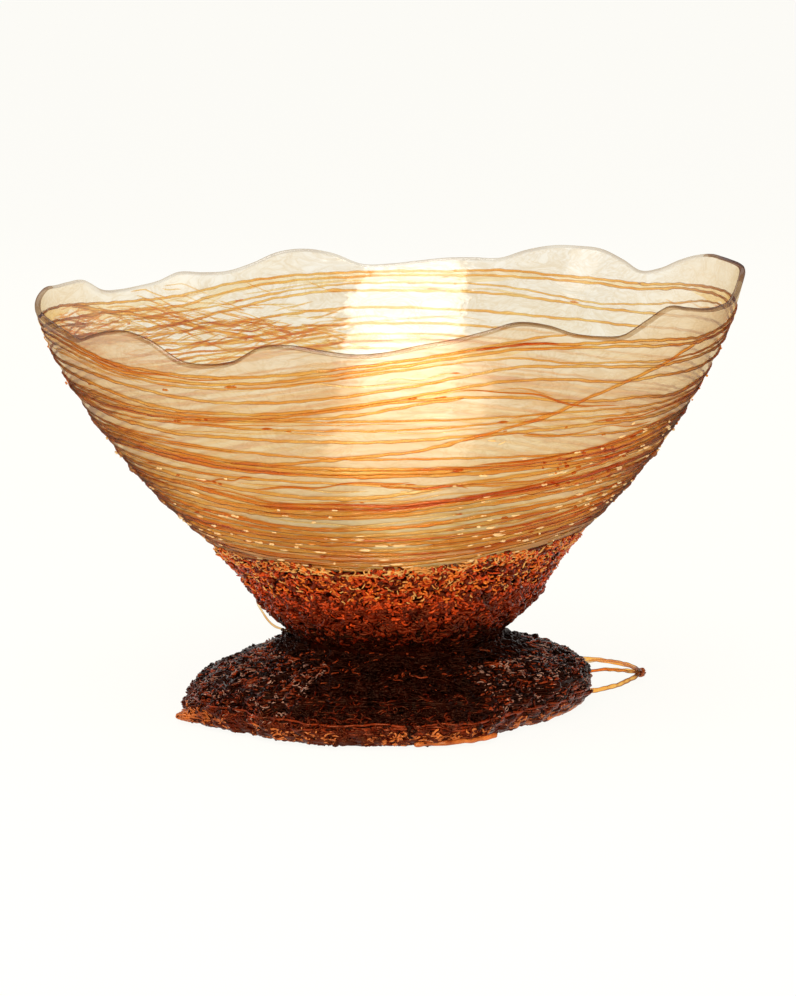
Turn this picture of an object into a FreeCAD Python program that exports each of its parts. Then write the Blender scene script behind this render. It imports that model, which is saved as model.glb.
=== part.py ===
"""Art glass bowl: a thin flared bowl skin with a wavy rim, wound on the outside with
many fused glass threads, on a neck and a spreading foot of tangled threads.

Frame: millimetres, +Z up. The origin is on the table, under the middle of the foot.
The bowl leans a little on its foot, so everything that belongs to the bowl is laid out
in the bowl's own frame (height 0 at the neck) and carries the same leaning Placement.
"""
import FreeCAD, Part
import Sketcher
import math
import os
from FreeCAD import Vector, Placement, Rotation

doc = FreeCAD.newDocument("art_glass_bowl")

# ---------------------------------------------------------------- driving dimensions
sheet = doc.addObject("Spreadsheet::Sheet", "Dims")
CELLS = [
    ("neck_height", 38.0),      # table to the bowl's own zero height
    ("lean_angle", -1.85),      # lean of the bowl on its foot, degrees about Y
    ("lean_shift", 4.9),        # sideways offset of the bowl's axis at the neck
    ("wall", 2.6),              # skin thickness, measured square to the wall
    ("floor_thickness", 4.0),
    ("gauge_main", 2.3),        # thread diameters
    ("gauge_thin", 1.6),
    ("gauge_thick", 3.1),
    ("end_gap", 0.6),           # between the two ends of a wound thread
    ("sink", 0.45),             # how far a fused thread is melted into the skin
    ("nest_proud", 1.6),        # how far the tangle stands out of the bowl's outline
    ("foot_height", 36.0),
    ("foot_thread", 4.2),
    ("loop_thread", 2.4),
    ("loop_thread_heavy", 4.4),
    ("knot_length", 5.2),
    ("knot_width", 3.6),
    ("leaf_length", 12.0),
    ("leaf_width", 7.5),
    ("leaf_thickness", 3.0),
    ("pad_radius", 52.0),       # solid melted core under the bowl
    ("pad_height", 9.0),
]
STATION_HEIGHT = [0.0, 12.0, 26.0, 40.0, 54.0, 70.0, 90.0, 110.0, 130.0, 150.0, 170.0, 196.0]
STATION_RADIUS = [46.0, 57.0, 68.0, 80.0, 94.6, 111.2, 130.0, 144.9, 157.6, 168.6, 175.8, 180.6]
NEST_OUTLINE = [54.0, 63.4, 73.2, 82.8, 95.2]
for index, value in enumerate(STATION_RADIUS):
    CELLS.append(("skin_radius_" + chr(97 + index), value))
for index, value in enumerate(STATION_HEIGHT):
    CELLS.append(("skin_height_" + chr(97 + index), value))
for index, value in enumerate(NEST_OUTLINE):
    CELLS.append(("nest_radius_" + chr(97 + index), value))
for number, (alias, value) in enumerate(CELLS, start=1):
    sheet.set("A%d" % number, alias)
    sheet.set("B%d" % number, str(value))
    sheet.setAlias("B%d" % number, alias)
doc.recompute()


def dim(alias):
    return float(getattr(sheet, alias))


# Height of the wavy rim above the neck, every 5 degrees round the bowl, and the height
# of each wound thread, every 10 degrees. Angle 0 is +X, 90 is the back (+Y).
RIM_HEIGHT = [
    182.4, 182.2, 181.9, 181.7, 181.5, 179.5, 175.6, 170.0, 167.5, 172.6, 176.9, 177.7,
    177.4, 174.7, 170.2, 170.3, 170.1, 168.8, 167.6, 168.1, 174.5, 177.8, 177.1, 172.4,
    169.5, 170.1, 171.9, 168.8, 167.9, 167.9, 169.7, 176.7, 177.8, 178.2, 179.4, 178.7,
    177.4, 175.9, 175.3, 175.0, 173.7, 171.4, 168.6, 172.1, 175.5, 176.9, 173.2, 164.4,
    163.1, 165.4, 172.8, 173.8, 171.1, 169.0, 169.9, 172.7, 174.7, 177.6, 180.8, 178.3,
    172.7, 169.6, 168.6, 174.0, 178.8, 176.4, 173.8, 172.2, 171.6, 171.7, 175.2, 180.9]

THREADS = {
    "thread_a1": ("gauge_main", [
        165.0, 166.0, 165.4, 163.4, 161.2, 161.5, 162.5, 164.0, 163.5, 164.0, 164.5, 164.2,
        163.0, 160.0, 160.9, 163.0, 166.6, 168.6, 169.6, 170.0, 170.0, 165.8, 160.4, 158.3,
        157.7, 158.9, 162.2, 165.3, 168.7, 170.7, 168.4, 166.0, 163.3, 160.0, 160.8, 163.0]),
    "thread_a2": ("gauge_main", [
        160.0, 162.7, 162.8, 161.4, 158.5, 159.1, 160.1, 161.0, 161.5, 161.9, 162.0, 161.5,
        159.2, 155.0, 156.1, 158.0, 159.9, 162.0, 164.2, 166.0, 167.0, 163.0, 157.2, 154.7,
        154.1, 155.7, 159.5, 162.9, 166.5, 168.2, 166.5, 163.6, 160.3, 157.8, 158.0, 158.8]),
    "thread_a3": ("gauge_thin", [
        156.0, 159.1, 158.1, 153.7, 150.8, 149.3, 152.5, 155.9, 157.4, 158.1, 158.3, 156.2,
        153.5, 151.8, 151.9, 152.8, 156.4, 159.1, 161.0, 163.0, 163.0, 160.0, 155.3, 152.3,
        151.8, 153.2, 157.0, 160.7, 163.8, 164.0, 158.9, 155.8, 152.6, 151.8, 152.4, 153.8]),
    "thread_a4": ("gauge_main", [
        151.0, 150.7, 150.0, 147.7, 147.0, 147.0, 149.6, 151.8, 153.1, 154.1, 155.1, 153.8,
        150.1, 146.7, 146.3, 148.0, 150.8, 152.8, 154.0, 155.0, 154.0, 153.0, 150.0, 146.8,
        144.9, 145.6, 148.1, 151.7, 156.3, 159.5, 157.3, 153.6, 150.2, 149.5, 149.7, 150.4]),
    "thread_a5": ("gauge_main", [
        144.0, 143.7, 143.0, 141.3, 140.0, 140.3, 141.0, 142.4, 144.0, 145.3, 146.0, 144.7,
        143.0, 142.3, 142.0, 143.4, 146.0, 149.0, 150.5, 151.0, 149.0, 146.6, 142.2, 139.3,
        138.8, 139.9, 142.7, 146.7, 150.7, 153.0, 150.6, 145.8, 144.7, 143.0, 143.0, 143.3]),
    "thread_a6": ("gauge_main", [
        135.8, 135.8, 134.6, 133.4, 132.2, 132.2, 133.3, 134.7, 136.4, 137.4, 137.9, 137.4,
        134.6, 134.0, 134.0, 134.6, 137.6, 140.1, 142.0, 143.0, 142.0, 140.5, 138.2, 137.0,
        136.6, 138.0, 141.6, 145.0, 146.5, 144.5, 139.8, 136.5, 134.6, 131.6, 133.4, 135.0]),
    "thread_a8": ("gauge_thin", [
        130.0, 129.7, 129.0, 127.6, 126.5, 127.0, 128.0, 129.5, 131.0, 132.0, 132.5, 130.8,
        129.0, 129.0, 129.0, 130.9, 134.0, 136.5, 137.0, 137.0, 136.8, 135.6, 134.6, 134.0,
        134.5, 135.7, 136.0, 135.8, 135.2, 134.4, 133.7, 131.8, 129.5, 128.8, 129.2, 129.7]),
    "thread_a9": ("gauge_thin", [
        127.0, 126.2, 125.0, 123.8, 123.0, 123.7, 125.0, 126.6, 128.0, 128.7, 129.0, 127.5,
        126.0, 126.3, 127.0, 128.7, 131.0, 133.4, 134.0, 134.0, 132.0, 131.8, 131.8, 131.9,
        131.8, 131.5, 131.1, 131.0, 131.0, 131.5, 130.0, 128.2, 126.4, 126.0, 126.7, 127.0]),
    "thread_b1": ("gauge_main", [
        124.5, 123.4, 121.7, 120.4, 119.2, 119.2, 120.4, 121.7, 123.3, 124.6, 125.8, 125.5,
        123.5, 123.1, 123.6, 124.9, 128.2, 131.9, 135.5, 136.9, 134.5, 129.9, 128.0, 125.8,
        126.2, 125.6, 125.1, 125.0, 125.6, 125.9, 125.3, 124.5, 122.7, 122.2, 124.3, 125.0]),
    "thread_b2": ("gauge_thin", [
        118.0, 117.3, 116.0, 114.2, 113.0, 113.3, 114.0, 115.4, 117.0, 118.3, 119.0, 118.0,
        117.0, 117.3, 118.0, 120.1, 123.0, 126.3, 127.0, 127.0, 125.5, 123.5, 121.5, 120.3,
        119.1, 117.3, 116.4, 115.3, 114.6, 113.1, 111.0, 110.9, 112.9, 115.6, 117.6, 118.0]),
    "thread_b4": ("gauge_thick", [
        113.0, 112.1, 111.0, 109.2, 108.0, 108.3, 109.0, 110.5, 112.0, 112.7, 113.0, 112.0,
        111.0, 111.3, 112.0, 114.3, 117.0, 118.7, 119.0, 119.0, 116.7, 117.2, 115.0, 113.0,
        110.4, 109.5, 108.8, 108.1, 107.8, 108.3, 108.8, 109.2, 109.6, 113.0, 113.9, 113.8]),
    "thread_b5": ("gauge_main", [
        110.0, 109.1, 108.0, 106.8, 106.0, 106.3, 107.0, 108.5, 110.0, 110.7, 111.0, 110.5,
        110.0, 110.6, 112.0, 114.8, 118.0, 120.3, 121.5, 122.0, 121.5, 120.6, 117.9, 115.2,
        112.8, 111.4, 110.6, 109.9, 109.3, 107.4, 106.9, 106.9, 107.3, 109.0, 110.6, 110.8]),
    "thread_b6": ("gauge_main", [
        107.5, 106.4, 105.0, 103.7, 103.0, 103.5, 104.5, 105.8, 107.0, 108.0, 108.5, 107.2,
        106.0, 106.6, 108.0, 110.4, 113.0, 114.7, 114.9, 114.5, 114.0, 114.0, 112.5, 110.2,
        108.3, 107.4, 106.7, 106.1, 105.7, 105.1, 104.9, 104.5, 104.3, 106.6, 107.8, 107.9]),
    "thread_b7": ("gauge_thin", [
        104.0, 103.3, 102.0, 100.2, 99.0, 99.3, 100.0, 101.4, 103.0, 104.3, 105.0, 104.0,
        103.0, 103.3, 104.0, 105.4, 107.0, 108.2, 108.5, 108.5, 107.8, 107.0, 106.0, 104.4,
        104.0, 103.3, 102.3, 100.9, 99.4, 97.8, 96.9, 99.9, 101.8, 103.2, 104.0, 104.0]),
    "thread_b8": ("gauge_main", [
        106.0, 105.2, 104.0, 102.8, 102.0, 102.4, 103.0, 103.6, 104.0, 103.7, 103.0, 101.8,
        101.0, 101.0, 101.0, 101.8, 103.0, 103.8, 103.9, 103.5, 103.2, 102.6, 101.4, 99.7,
        96.8, 94.8, 94.2, 95.4, 99.3, 100.8, 101.8, 103.0, 104.1, 105.2, 106.0, 106.0]),
    "thread_c1": ("gauge_main", [
        98.0, 97.1, 96.0, 94.8, 94.0, 94.3, 95.0, 96.4, 98.0, 99.0, 99.5, 98.4,
        97.0, 96.3, 96.0, 96.8, 98.0, 98.7, 98.8, 98.5, 98.2, 97.6, 96.8, 93.8,
        90.0, 89.4, 89.4, 89.7, 91.0, 92.9, 94.3, 95.8, 97.0, 97.9, 98.4, 98.4]),
    "thread_c2": ("gauge_thick", [
        93.0, 92.1, 91.0, 90.0, 89.5, 90.0, 91.0, 92.6, 94.0, 94.7, 95.0, 93.9,
        92.5, 92.1, 92.0, 92.4, 93.0, 93.8, 94.0, 93.8, 93.3, 92.7, 91.8, 89.0,
        86.7, 85.9, 85.8, 86.6, 88.9, 90.8, 91.9, 92.8, 93.5, 93.9, 93.9, 93.6]),
    "thread_c3": ("gauge_main", [
        89.0, 88.0, 87.0, 86.3, 86.0, 86.6, 87.5, 88.3, 89.0, 89.7, 90.0, 89.0,
        88.0, 88.0, 88.0, 88.4, 89.0, 89.8, 90.0, 90.0, 89.3, 88.3, 86.9, 85.3,
        83.8, 82.9, 83.0, 84.1, 85.7, 87.0, 88.1, 89.0, 89.5, 89.9, 89.9, 89.6]),
    "thread_c4": ("gauge_main", [
        84.5, 83.5, 82.2, 82.0, 82.0, 82.2, 83.4, 84.6, 85.8, 85.9, 85.3, 84.5,
        83.2, 83.0, 83.0, 83.3, 84.5, 85.3, 85.8, 86.0, 85.3, 84.2, 82.7, 80.4,
        77.4, 76.3, 76.0, 77.0, 78.7, 80.4, 82.0, 83.1, 84.0, 84.6, 85.3, 85.3]),
    "thread_c5": ("gauge_main", [
        80.3, 79.5, 78.3, 78.0, 78.0, 78.2, 79.4, 80.6, 81.8, 81.9, 81.3, 80.5,
        79.2, 79.0, 79.0, 79.3, 80.5, 81.3, 81.8, 82.0, 81.5, 80.4, 78.8, 76.6,
        74.6, 73.1, 72.8, 73.0, 74.2, 75.6, 77.2, 78.6, 79.7, 80.5, 81.0, 80.8]),
    "thread_c6": ("gauge_thick", [
        76.5, 75.4, 74.2, 74.0, 74.0, 74.2, 75.4, 76.6, 77.8, 77.9, 77.3, 76.5,
        75.2, 75.0, 75.3, 75.8, 76.7, 77.2, 77.6, 77.8, 77.2, 76.0, 74.7, 73.2,
        71.6, 70.5, 70.0, 69.8, 70.2, 70.6, 71.5, 73.4, 75.4, 77.2, 78.0, 77.5]),
    "thread_c7": ("gauge_main", [
        74.0, 73.0, 71.8, 71.0, 71.0, 71.0, 71.8, 73.0, 73.7, 74.0, 73.7, 73.0,
        71.8, 71.0, 71.3, 72.0, 72.9, 73.6, 73.9, 74.0, 73.3, 72.0, 70.7, 69.4,
        68.4, 67.5, 67.0, 66.8, 67.1, 67.7, 68.6, 70.1, 72.0, 73.6, 74.2, 74.5]),
    "thread_c8": ("gauge_main", [
        70.7, 69.5, 68.5, 67.7, 67.5, 67.8, 68.4, 69.5, 70.3, 70.9, 70.8, 69.5,
        68.7, 68.1, 68.1, 68.7, 69.2, 69.8, 70.2, 70.4, 69.8, 68.6, 67.4, 66.2,
        65.2, 64.3, 63.7, 63.4, 64.0, 65.0, 66.5, 68.1, 69.8, 71.1, 71.4, 71.2]),
    "thread_d1": ("gauge_main", [
        67.6, 66.5, 65.5, 64.7, 64.5, 64.8, 65.4, 66.5, 67.3, 67.9, 67.8, 66.5,
        65.7, 65.1, 65.1, 65.3, 65.7, 66.2, 66.6, 66.8, 66.2, 65.2, 64.3, 63.4,
        62.5, 61.5, 60.8, 60.8, 61.1, 62.6, 64.1, 65.6, 67.0, 68.3, 68.5, 68.2]),
    "thread_d2": ("gauge_thick", [
        64.7, 63.6, 62.4, 61.2, 61.1, 61.7, 62.4, 63.6, 64.3, 64.9, 64.8, 63.6,
        62.5, 61.7, 61.6, 61.8, 62.2, 62.5, 62.9, 63.0, 62.5, 61.5, 60.0, 59.0,
        58.6, 58.2, 57.7, 57.4, 57.7, 59.1, 61.0, 62.8, 64.3, 65.2, 65.2, 65.1]),
    "thread_d3": ("gauge_main", [
        61.2, 60.0, 58.8, 58.0, 58.1, 58.5, 59.4, 60.5, 61.5, 62.0, 61.2, 60.0,
        59.0, 58.5, 58.5, 58.5, 58.7, 59.2, 59.8, 60.0, 59.2, 58.0, 56.9, 56.0,
        55.3, 54.5, 54.0, 54.0, 55.0, 56.5, 58.3, 60.0, 61.6, 62.0, 62.0, 62.0]),
    "thread_d4": ("gauge_thick", [
        58.2, 57.1, 55.9, 54.7, 54.5, 54.8, 55.3, 56.5, 57.5, 58.3, 58.3, 57.4,
        56.6, 55.8, 55.3, 55.0, 55.1, 55.6, 56.2, 56.5, 55.9, 55.0, 54.1, 53.3,
        52.6, 51.7, 51.0, 50.8, 51.1, 52.4, 54.1, 56.0, 57.8, 58.8, 59.0, 58.7]),
}

SHORT_THREADS = {
    "thread_a7": ("gauge_main", [
        (-168.0, 140.0), (-159.8, 139.1), (-151.6, 137.8), (-143.5, 136.4), (-135.3, 135.4), (-127.1, 135.2),
        (-118.9, 135.8), (-110.7, 136.8), (-102.5, 137.7), (-94.4, 139.6), (-86.2, 143.8), (-78.0, 146.0)]),
    "thread_a0": ("gauge_thin", [
        (-84.0, 167.8), (-76.5, 170.6), (-69.0, 172.8), (-61.5, 173.3)]),
    "thread_slant": ("gauge_main", [
        (-122.0, 112.0), (-114.3, 112.5), (-106.7, 114.0), (-99.0, 116.3), (-91.3, 118.1), (-83.7, 120.1),
        (-76.0, 124.7), (-68.3, 129.2), (-60.7, 134.0), (-53.0, 141.0), (-45.3, 146.4), (-37.7, 151.4),
        (-30.0, 157.5)]),
    "thread_b3": ("gauge_thin", [
        (-66.0, 123.8), (-58.0, 121.1), (-49.9, 118.9), (-41.9, 117.2), (-33.9, 117.0), (-25.8, 117.0),
        (-17.8, 117.0), (-9.8, 116.9), (-1.7, 116.5), (6.3, 115.8), (14.3, 114.9), (22.4, 113.3),
        (30.4, 111.5), (38.4, 110.5), (46.5, 110.7), (54.5, 111.4), (62.5, 112.2), (70.6, 113.1),
        (78.6, 114.0), (86.6, 115.0), (94.7, 115.8), (102.7, 116.0), (110.7, 115.7), (118.8, 115.3),
        (126.8, 115.0), (134.8, 115.3), (142.9, 117.0), (150.9, 119.1), (158.9, 120.8), (167.0, 122.4),
        (175.0, 124.0)]),
    "feather_one": ("gauge_thin", [
        (94.8, 124.1), (103.5, 134.2), (112.3, 139.4), (121.0, 144.3)]),
    "feather_two": ("gauge_thick", [
        (115.3, 132.7), (122.8, 138.3), (130.2, 144.8), (137.7, 151.2), (145.1, 156.1), (152.6, 161.0),
        (160.0, 166.0)]),
    "feather_three": ("gauge_main", [
        (97.8, 139.0), (106.2, 135.7), (114.6, 132.7), (123.0, 133.5), (131.4, 135.4), (139.8, 138.9),
        (148.2, 143.0), (156.6, 147.4), (165.0, 152.0)]),
}

# Threads of the foot and the loose loops beside it, in the table's frame.
FOOT_THREADS = {
    "foot_loop_a": ("loop_thread", [(97, 22, 17), (106, 26, 18), (117, 36, 15.5), (126, 47, 10), (132, 58, 5.5)]),
    "foot_loop_b": ("loop_thread", [(96, 12, 13), (105, 22, 13.5), (115, 33, 11.5), (124, 45, 8), (132, 59, 4.5)]),
    "foot_loop_c": ("loop_thread_heavy", [(92, 14, 5), (101, 19, 3.4), (112, 27, 3.2), (122, 40, 3.4), (130, 56, 4.4), (128, 70, 5), (117, 78, 6), (101, 77, 8), (86, 70, 9)]),
    "foot_loop_d": ("loop_thread", [(90, 34, 9), (101, 38, 9.5), (112, 46, 9), (121, 54, 7), (130, 61, 4.5)]),
    "neck_loop": ("loop_thread", [(-66, -12, 64), (-67.5, -13, 59), (-66, -14, 54), (-63, -14, 49), (-58.5, -13, 44.5), (-51, -12, 41)]),
    "front_ribbon": ("loop_thread_heavy", [(-22, -94, 3.0), (-6, -96, 2.6), (12, -96, 2.5), (30, -92.5, 2.6), (44, -86, 2.8), (53, -80.5, 3.4)]),
    "cut_thread_end": ("loop_thread_heavy", [(62, -58, 4.5), (74, -46, 3.4), (84, -32, 2.8), (92, -17, 2.8), (98, -3, 3.6)]),
}

# Outline of the tangled foot, radius every 22.5 degrees, at rising heights.
FOOT_OUTLINE = [
    (0.0, [95, 104, 106, 100, 96, 97, 101, 101, 104, 108, 98, 99, 95, 95, 83, 87]),
    (8.0, [101, 107, 108, 103, 99, 100, 102, 101, 101, 106, 101, 101, 96, 97, 89, 94]),
    (16.0, [101, 103, 103, 99, 95, 95, 93, 92, 95, 96, 93, 93, 91, 93, 90, 96]),
    (24.0, [97, 93, 89, 85, 81, 80, 78, 72, 80, 80, 77, 77, 77, 79, 83, 93]),
    (30.0, [82, 75, 73, 69, 66, 65, 64, 61, 64, 64, 64, 65, 66, 67, 71, 78]),
    (36.0, [61, 60, 60, 60, 59, 59, 58, 58, 57, 57, 58, 59, 60, 60, 60, 61]),
]

parts = {}


def keep(obj, label):
    obj.Label = label
    parts[label] = obj
    return obj


def lean(obj):
    """Stand an object of the bowl's frame on the neck, with the bowl's lean."""
    obj.Placement = Placement(Vector(dim("lean_shift"), 0, dim("neck_height")),
                              Rotation(Vector(0, 1, 0), dim("lean_angle")))
    obj.setExpression("Placement.Base.x", "Dims.lean_shift")
    obj.setExpression("Placement.Base.z", "Dims.neck_height")


def ring(name, radius_rule, height_rule):
    circle = doc.addObject("Part::Circle", name)
    circle.setExpression("Radius", radius_rule)
    circle.setExpression("Placement.Base.z", height_rule)
    return circle


def ring_loft(name, rings):
    loft = doc.addObject("Part::Loft", name)
    loft.Sections = rings
    loft.Solid = True
    loft.Ruled = False
    return loft


# ---------------------------------------------------------------- the bowl's skin
letters = [chr(97 + i) for i in range(len(STATION_RADIUS))]
outer = ring_loft("skin_outer", [
    ring("outer_ring_" + k, "Dims.skin_radius_" + k, "Dims.skin_height_" + k) for k in letters])
# The wall slopes, so the inner surface steps in by more than the wall at the low, wide-
# angled stations and by little more than the wall near the upright rim.
STEP = [1.30, 1.30, 1.29, 1.34, 1.40, 1.38, 1.30, 1.22, 1.18, 1.12, 1.05, 1.02]
inner_rings = [ring("inner_floor_low", "Dims.skin_radius_a - 8", "Dims.floor_thickness"),
               ring("inner_floor_edge", "Dims.skin_radius_b - 1.6 * Dims.wall", "Dims.skin_height_b")]
for k, step in list(zip(letters, STEP))[2:]:
    inner_rings.append(ring("inner_ring_" + k, "Dims.skin_radius_%s - %.2f * Dims.wall" % (k, step),
                            "Dims.skin_height_%s" % k if k != letters[-1] else "Dims.skin_height_%s + 1" % k))
inner = ring_loft("skin_inner", inner_rings)
blank = doc.addObject("Part::Cut", "skin_blank")
blank.Base = outer
blank.Tool = inner
doc.recompute()

# The outline r(height) of the outer surface, read back from the loft itself.
profile = []
for edge in outer.Shape.Edges:
    box = edge.BoundBox
    if box.ZLength > 100:
        profile = sorted((p.z, math.hypot(p.x, p.y)) for p in edge.discretize(400))
        break


def skin_radius(height):
    if height <= profile[0][0]:
        return profile[0][1]
    for (z_low, r_low), (z_high, r_high) in zip(profile, profile[1:]):
        if height <= z_high:
            return r_low + (r_high - r_low) * (height - z_low) / max(z_high - z_low, 1e-9)
    return profile[-1][1]


# The wavy rim: everything above a wavy surface is cut away. The surface is made of four
# ruled quarters, whose joins stay clear of the loft's own seam at angle 0.
def rim_curve(radius, first):
    count = len(RIM_HEIGHT)
    points = []
    for i in range(first, first + count):
        turn = 2 * math.pi * i / count
        points.append(Vector(radius * math.cos(turn), radius * math.sin(turn), RIM_HEIGHT[i % count]))
    curve = Part.BSplineCurve()
    curve.interpolate(Points=points, PeriodicFlag=True)
    return curve


def rim_quarters():
    near, far = rim_curve(150.0, 3), rim_curve(205.0, 3)
    solids = []
    for i in range(4):
        edges = []
        for curve in (near, far):
            start, span = curve.FirstParameter, curve.LastParameter - curve.FirstParameter
            edges.append(curve.toShape(start + span * i / 4, start + span * (i + 1) / 4))
        solids.append(Part.makeRuledSurface(*edges).extrude(Vector(0, 0, 60)))
    return Part.makeCompound(solids)


rim_tool = doc.addObject("Part::Feature", "rim_tool")
rim_tool.Shape = rim_quarters()
skin = doc.addObject("Part::Cut", "bowl_skin")
skin.Base = blank
skin.Tool = rim_tool
lean(keep(skin, "bowl_skin"))


# ---------------------------------------------------------------- threads
def rounded_route(points):
    """Straight runs joined by tangent arcs, each arc as large as its runs allow."""
    arcs = []
    for before, here, after in zip(points, points[1:], points[2:]):
        u, w = before - here, after - here
        reach = 0.45 * min(u.Length, w.Length)
        u.normalize()
        w.normalize()
        half = (math.pi - u.getAngle(w)) / 2
        bisector = u + w
        bisector.normalize()
        radius = reach / math.tan(half)
        arcs.append((here + u * reach, here + bisector * (radius / math.cos(half) - radius), here + w * reach))
    edges = [Part.LineSegment(points[0], arcs[0][0]).toShape()]
    for i, (start, middle, end) in enumerate(arcs):
        edges.append(Part.Arc(start, middle, end).toShape())
        after = arcs[i + 1][0] if i + 1 < len(arcs) else points[-1]
        edges.append(Part.LineSegment(end, after).toShape())
    return Part.Wire(edges)


def once_round(points, start, gap):
    """The points of one full turn, from a chosen station round to just short of it: a
    wound thread has two ends, which meet at the back with a hair's gap."""
    turn = points[start:] + points[:start]
    last = turn[-1] + (turn[0] - turn[-1]) * (1 - gap / (turn[0] - turn[-1]).Length)
    return turn + [last]


def thread(label, gauge, points, leaning):
    """One glass thread: a round section of the sheet's gauge swept along its route."""
    spine = doc.addObject("Part::Feature", label + "_route")
    spine.Shape = rounded_route(points)
    first = spine.Shape.Edges[0]
    section = doc.addObject("Part::Circle", label + "_section")
    section.Placement = Placement(first.valueAt(first.FirstParameter),
                                  Rotation(Vector(0, 0, 1), first.tangentAt(first.FirstParameter)))
    section.setExpression("Radius", "Dims.%s / 2" % gauge)
    sweep = doc.addObject("Part::Sweep", label)
    sweep.Sections = [section]
    sweep.Spine = (spine, [])
    sweep.Solid = True
    sweep.Frenet = False
    keep(sweep, label)
    if leaning:
        lean(sweep)
    return sweep


def on_skin(angle, height, gauge, chord):
    """A point of a thread's centre line, lying on the skin. The rounded route passes a
    little inside its corners, which chord makes up for."""
    radius = (skin_radius(height) + dim(gauge) / 2 - dim("sink")) * chord
    turn = math.radians(angle)
    return Vector(radius * math.cos(turn), radius * math.sin(turn), height)


for number, (label, (gauge, heights)) in enumerate(THREADS.items()):
    step = 360.0 / len(heights)
    chord = 1 + 0.95 * (1 - math.cos(math.radians(step / 2)))
    stations = [on_skin(step * i, z, gauge, chord) for i, z in enumerate(heights)]
    thread(label, gauge, once_round(stations, 4 + number * 5 % 11, dim("end_gap")), True)

for label, (gauge, stations) in SHORT_THREADS.items():
    step = abs(stations[1][0] - stations[0][0])
    chord = 1 + 0.95 * (1 - math.cos(math.radians(step / 2)))
    thread(label, gauge, [on_skin(a, z, gauge, chord) for a, z in stations], True)

for label, (gauge, points) in FOOT_THREADS.items():
    thread(label, gauge, [Vector(*p) for p in points], False)


# ---------------------------------------------------------------- tangled foot and neck
def foot_radius(height, angle):
    """Radius of the foot's outline at a height and an angle in degrees."""
    turn = (angle % 360.0) / 22.5
    i = int(turn) % 16
    share = turn - int(turn)
    levels = []
    for z, radii in FOOT_OUTLINE:
        levels.append((z, radii[i] + (radii[(i + 1) % 16] - radii[i]) * (3 * share ** 2 - 2 * share ** 3)))
    for (z_low, r_low), (z_high, r_high) in zip(levels, levels[1:]):
        if height <= z_high:
            return r_low + (r_high - r_low) * (height - z_low) / (z_high - z_low)
    return levels[-1][1]


def origin_plane(body, role):
    for feature in body.Origin.OriginFeatures:
        if feature.Role == role:
            return feature


foot = doc.addObject("PartDesign::Body", "foot_nest")
sections = []
for number, (z, radii) in enumerate(FOOT_OUTLINE):
    sketch = foot.newObject("Sketcher::SketchObject", "foot_outline_%d" % number)
    sketch.AttachmentSupport = [(origin_plane(foot, "XY_Plane"), "")]
    sketch.MapMode = "FlatFace"
    sketch.AttachmentOffset = Placement(Vector(0, 0, z), Rotation())
    sketch.setExpression("AttachmentOffset.Base.z", "Dims.foot_height * %.6f" % (z / 36.0))
    outline = Part.BSplineCurve()
    outline.interpolate(Points=[Vector(radius * math.cos(math.radians(22.5 * i)),
                                       radius * math.sin(math.radians(22.5 * i)), 0)
                                for i, radius in enumerate(radii)], PeriodicFlag=True)
    sketch.addGeometry(outline, False)
    sections.append(sketch)
doc.recompute()
loft = foot.newObject("PartDesign::AdditiveLoft", "foot_loft")
loft.Profile = (sections[0], [])
loft.Sections = [(s, [""]) for s in sections[1:]]
loft.Ruled = False
loft.Closed = False
doc.recompute()
foot.Tip = loft
keep(foot, "foot_nest")

# Threads wound round the outside of the foot and the neck.
for label, height, inset, wave in [("foot_coil_low", 2.3, 1.5, 0.0),
                                   ("foot_coil_middle", 10.0, 0.6, 1.6),
                                   ("foot_coil_high", 19.0, 0.6, 2.2)]:
    points = []
    for i in range(32):
        angle = 11.25 * i
        z = height + wave * math.sin(math.radians(3 * angle + 40 * wave))
        radius = foot_radius(z, angle) - inset
        points.append(Vector(radius * math.cos(math.radians(angle)), radius * math.sin(math.radians(angle)), z))
    thread(label, "foot_thread", once_round(points, 7, dim("end_gap")), False)

# The melted pad that joins the neck to the bowl: a low turned block.
pad = doc.addObject("PartDesign::Body", "neck_pad")
profile_sketch = pad.newObject("Sketcher::SketchObject", "pad_profile")
profile_sketch.AttachmentSupport = [(origin_plane(pad, "XZ_Plane"), "")]
profile_sketch.MapMode = "FlatFace"
corner = [Vector(0, 0, 0), Vector(dim("pad_radius"), 0, 0), Vector(dim("pad_radius"), dim("pad_height"), 0),
          Vector(0, dim("pad_height"), 0)]
for i in range(4):
    profile_sketch.addGeometry(Part.LineSegment(corner[i], corner[(i + 1) % 4]), False)
for i in range(4):
    profile_sketch.addConstraint(Sketcher.Constraint("Coincident", i, 2, (i + 1) % 4, 1))
profile_sketch.addConstraint(Sketcher.Constraint("Coincident", 0, 1, -1, 1))
profile_sketch.addConstraint(Sketcher.Constraint("Horizontal", 0))
profile_sketch.addConstraint(Sketcher.Constraint("Vertical", 1))
profile_sketch.addConstraint(Sketcher.Constraint("Horizontal", 2))
profile_sketch.addConstraint(Sketcher.Constraint("PointOnObject", 2, 2, -2))
width_row = profile_sketch.addConstraint(Sketcher.Constraint("DistanceX", 0, 1, 0, 2, dim("pad_radius")))
height_row = profile_sketch.addConstraint(Sketcher.Constraint("DistanceY", 1, 1, 1, 2, dim("pad_height")))
profile_sketch.setExpression("Constraints[%d]" % width_row, "Dims.pad_radius")
profile_sketch.setExpression("Constraints[%d]" % height_row, "Dims.pad_height")
doc.recompute()
turned = pad.newObject("PartDesign::Revolution", "pad_turned")
turned.Profile = (profile_sketch, [])
turned.ReferenceAxis = (profile_sketch, ["V_Axis"])
turned.Angle = 360.0
doc.recompute()
rounded = pad.newObject("PartDesign::Fillet", "pad_rounded")
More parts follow.
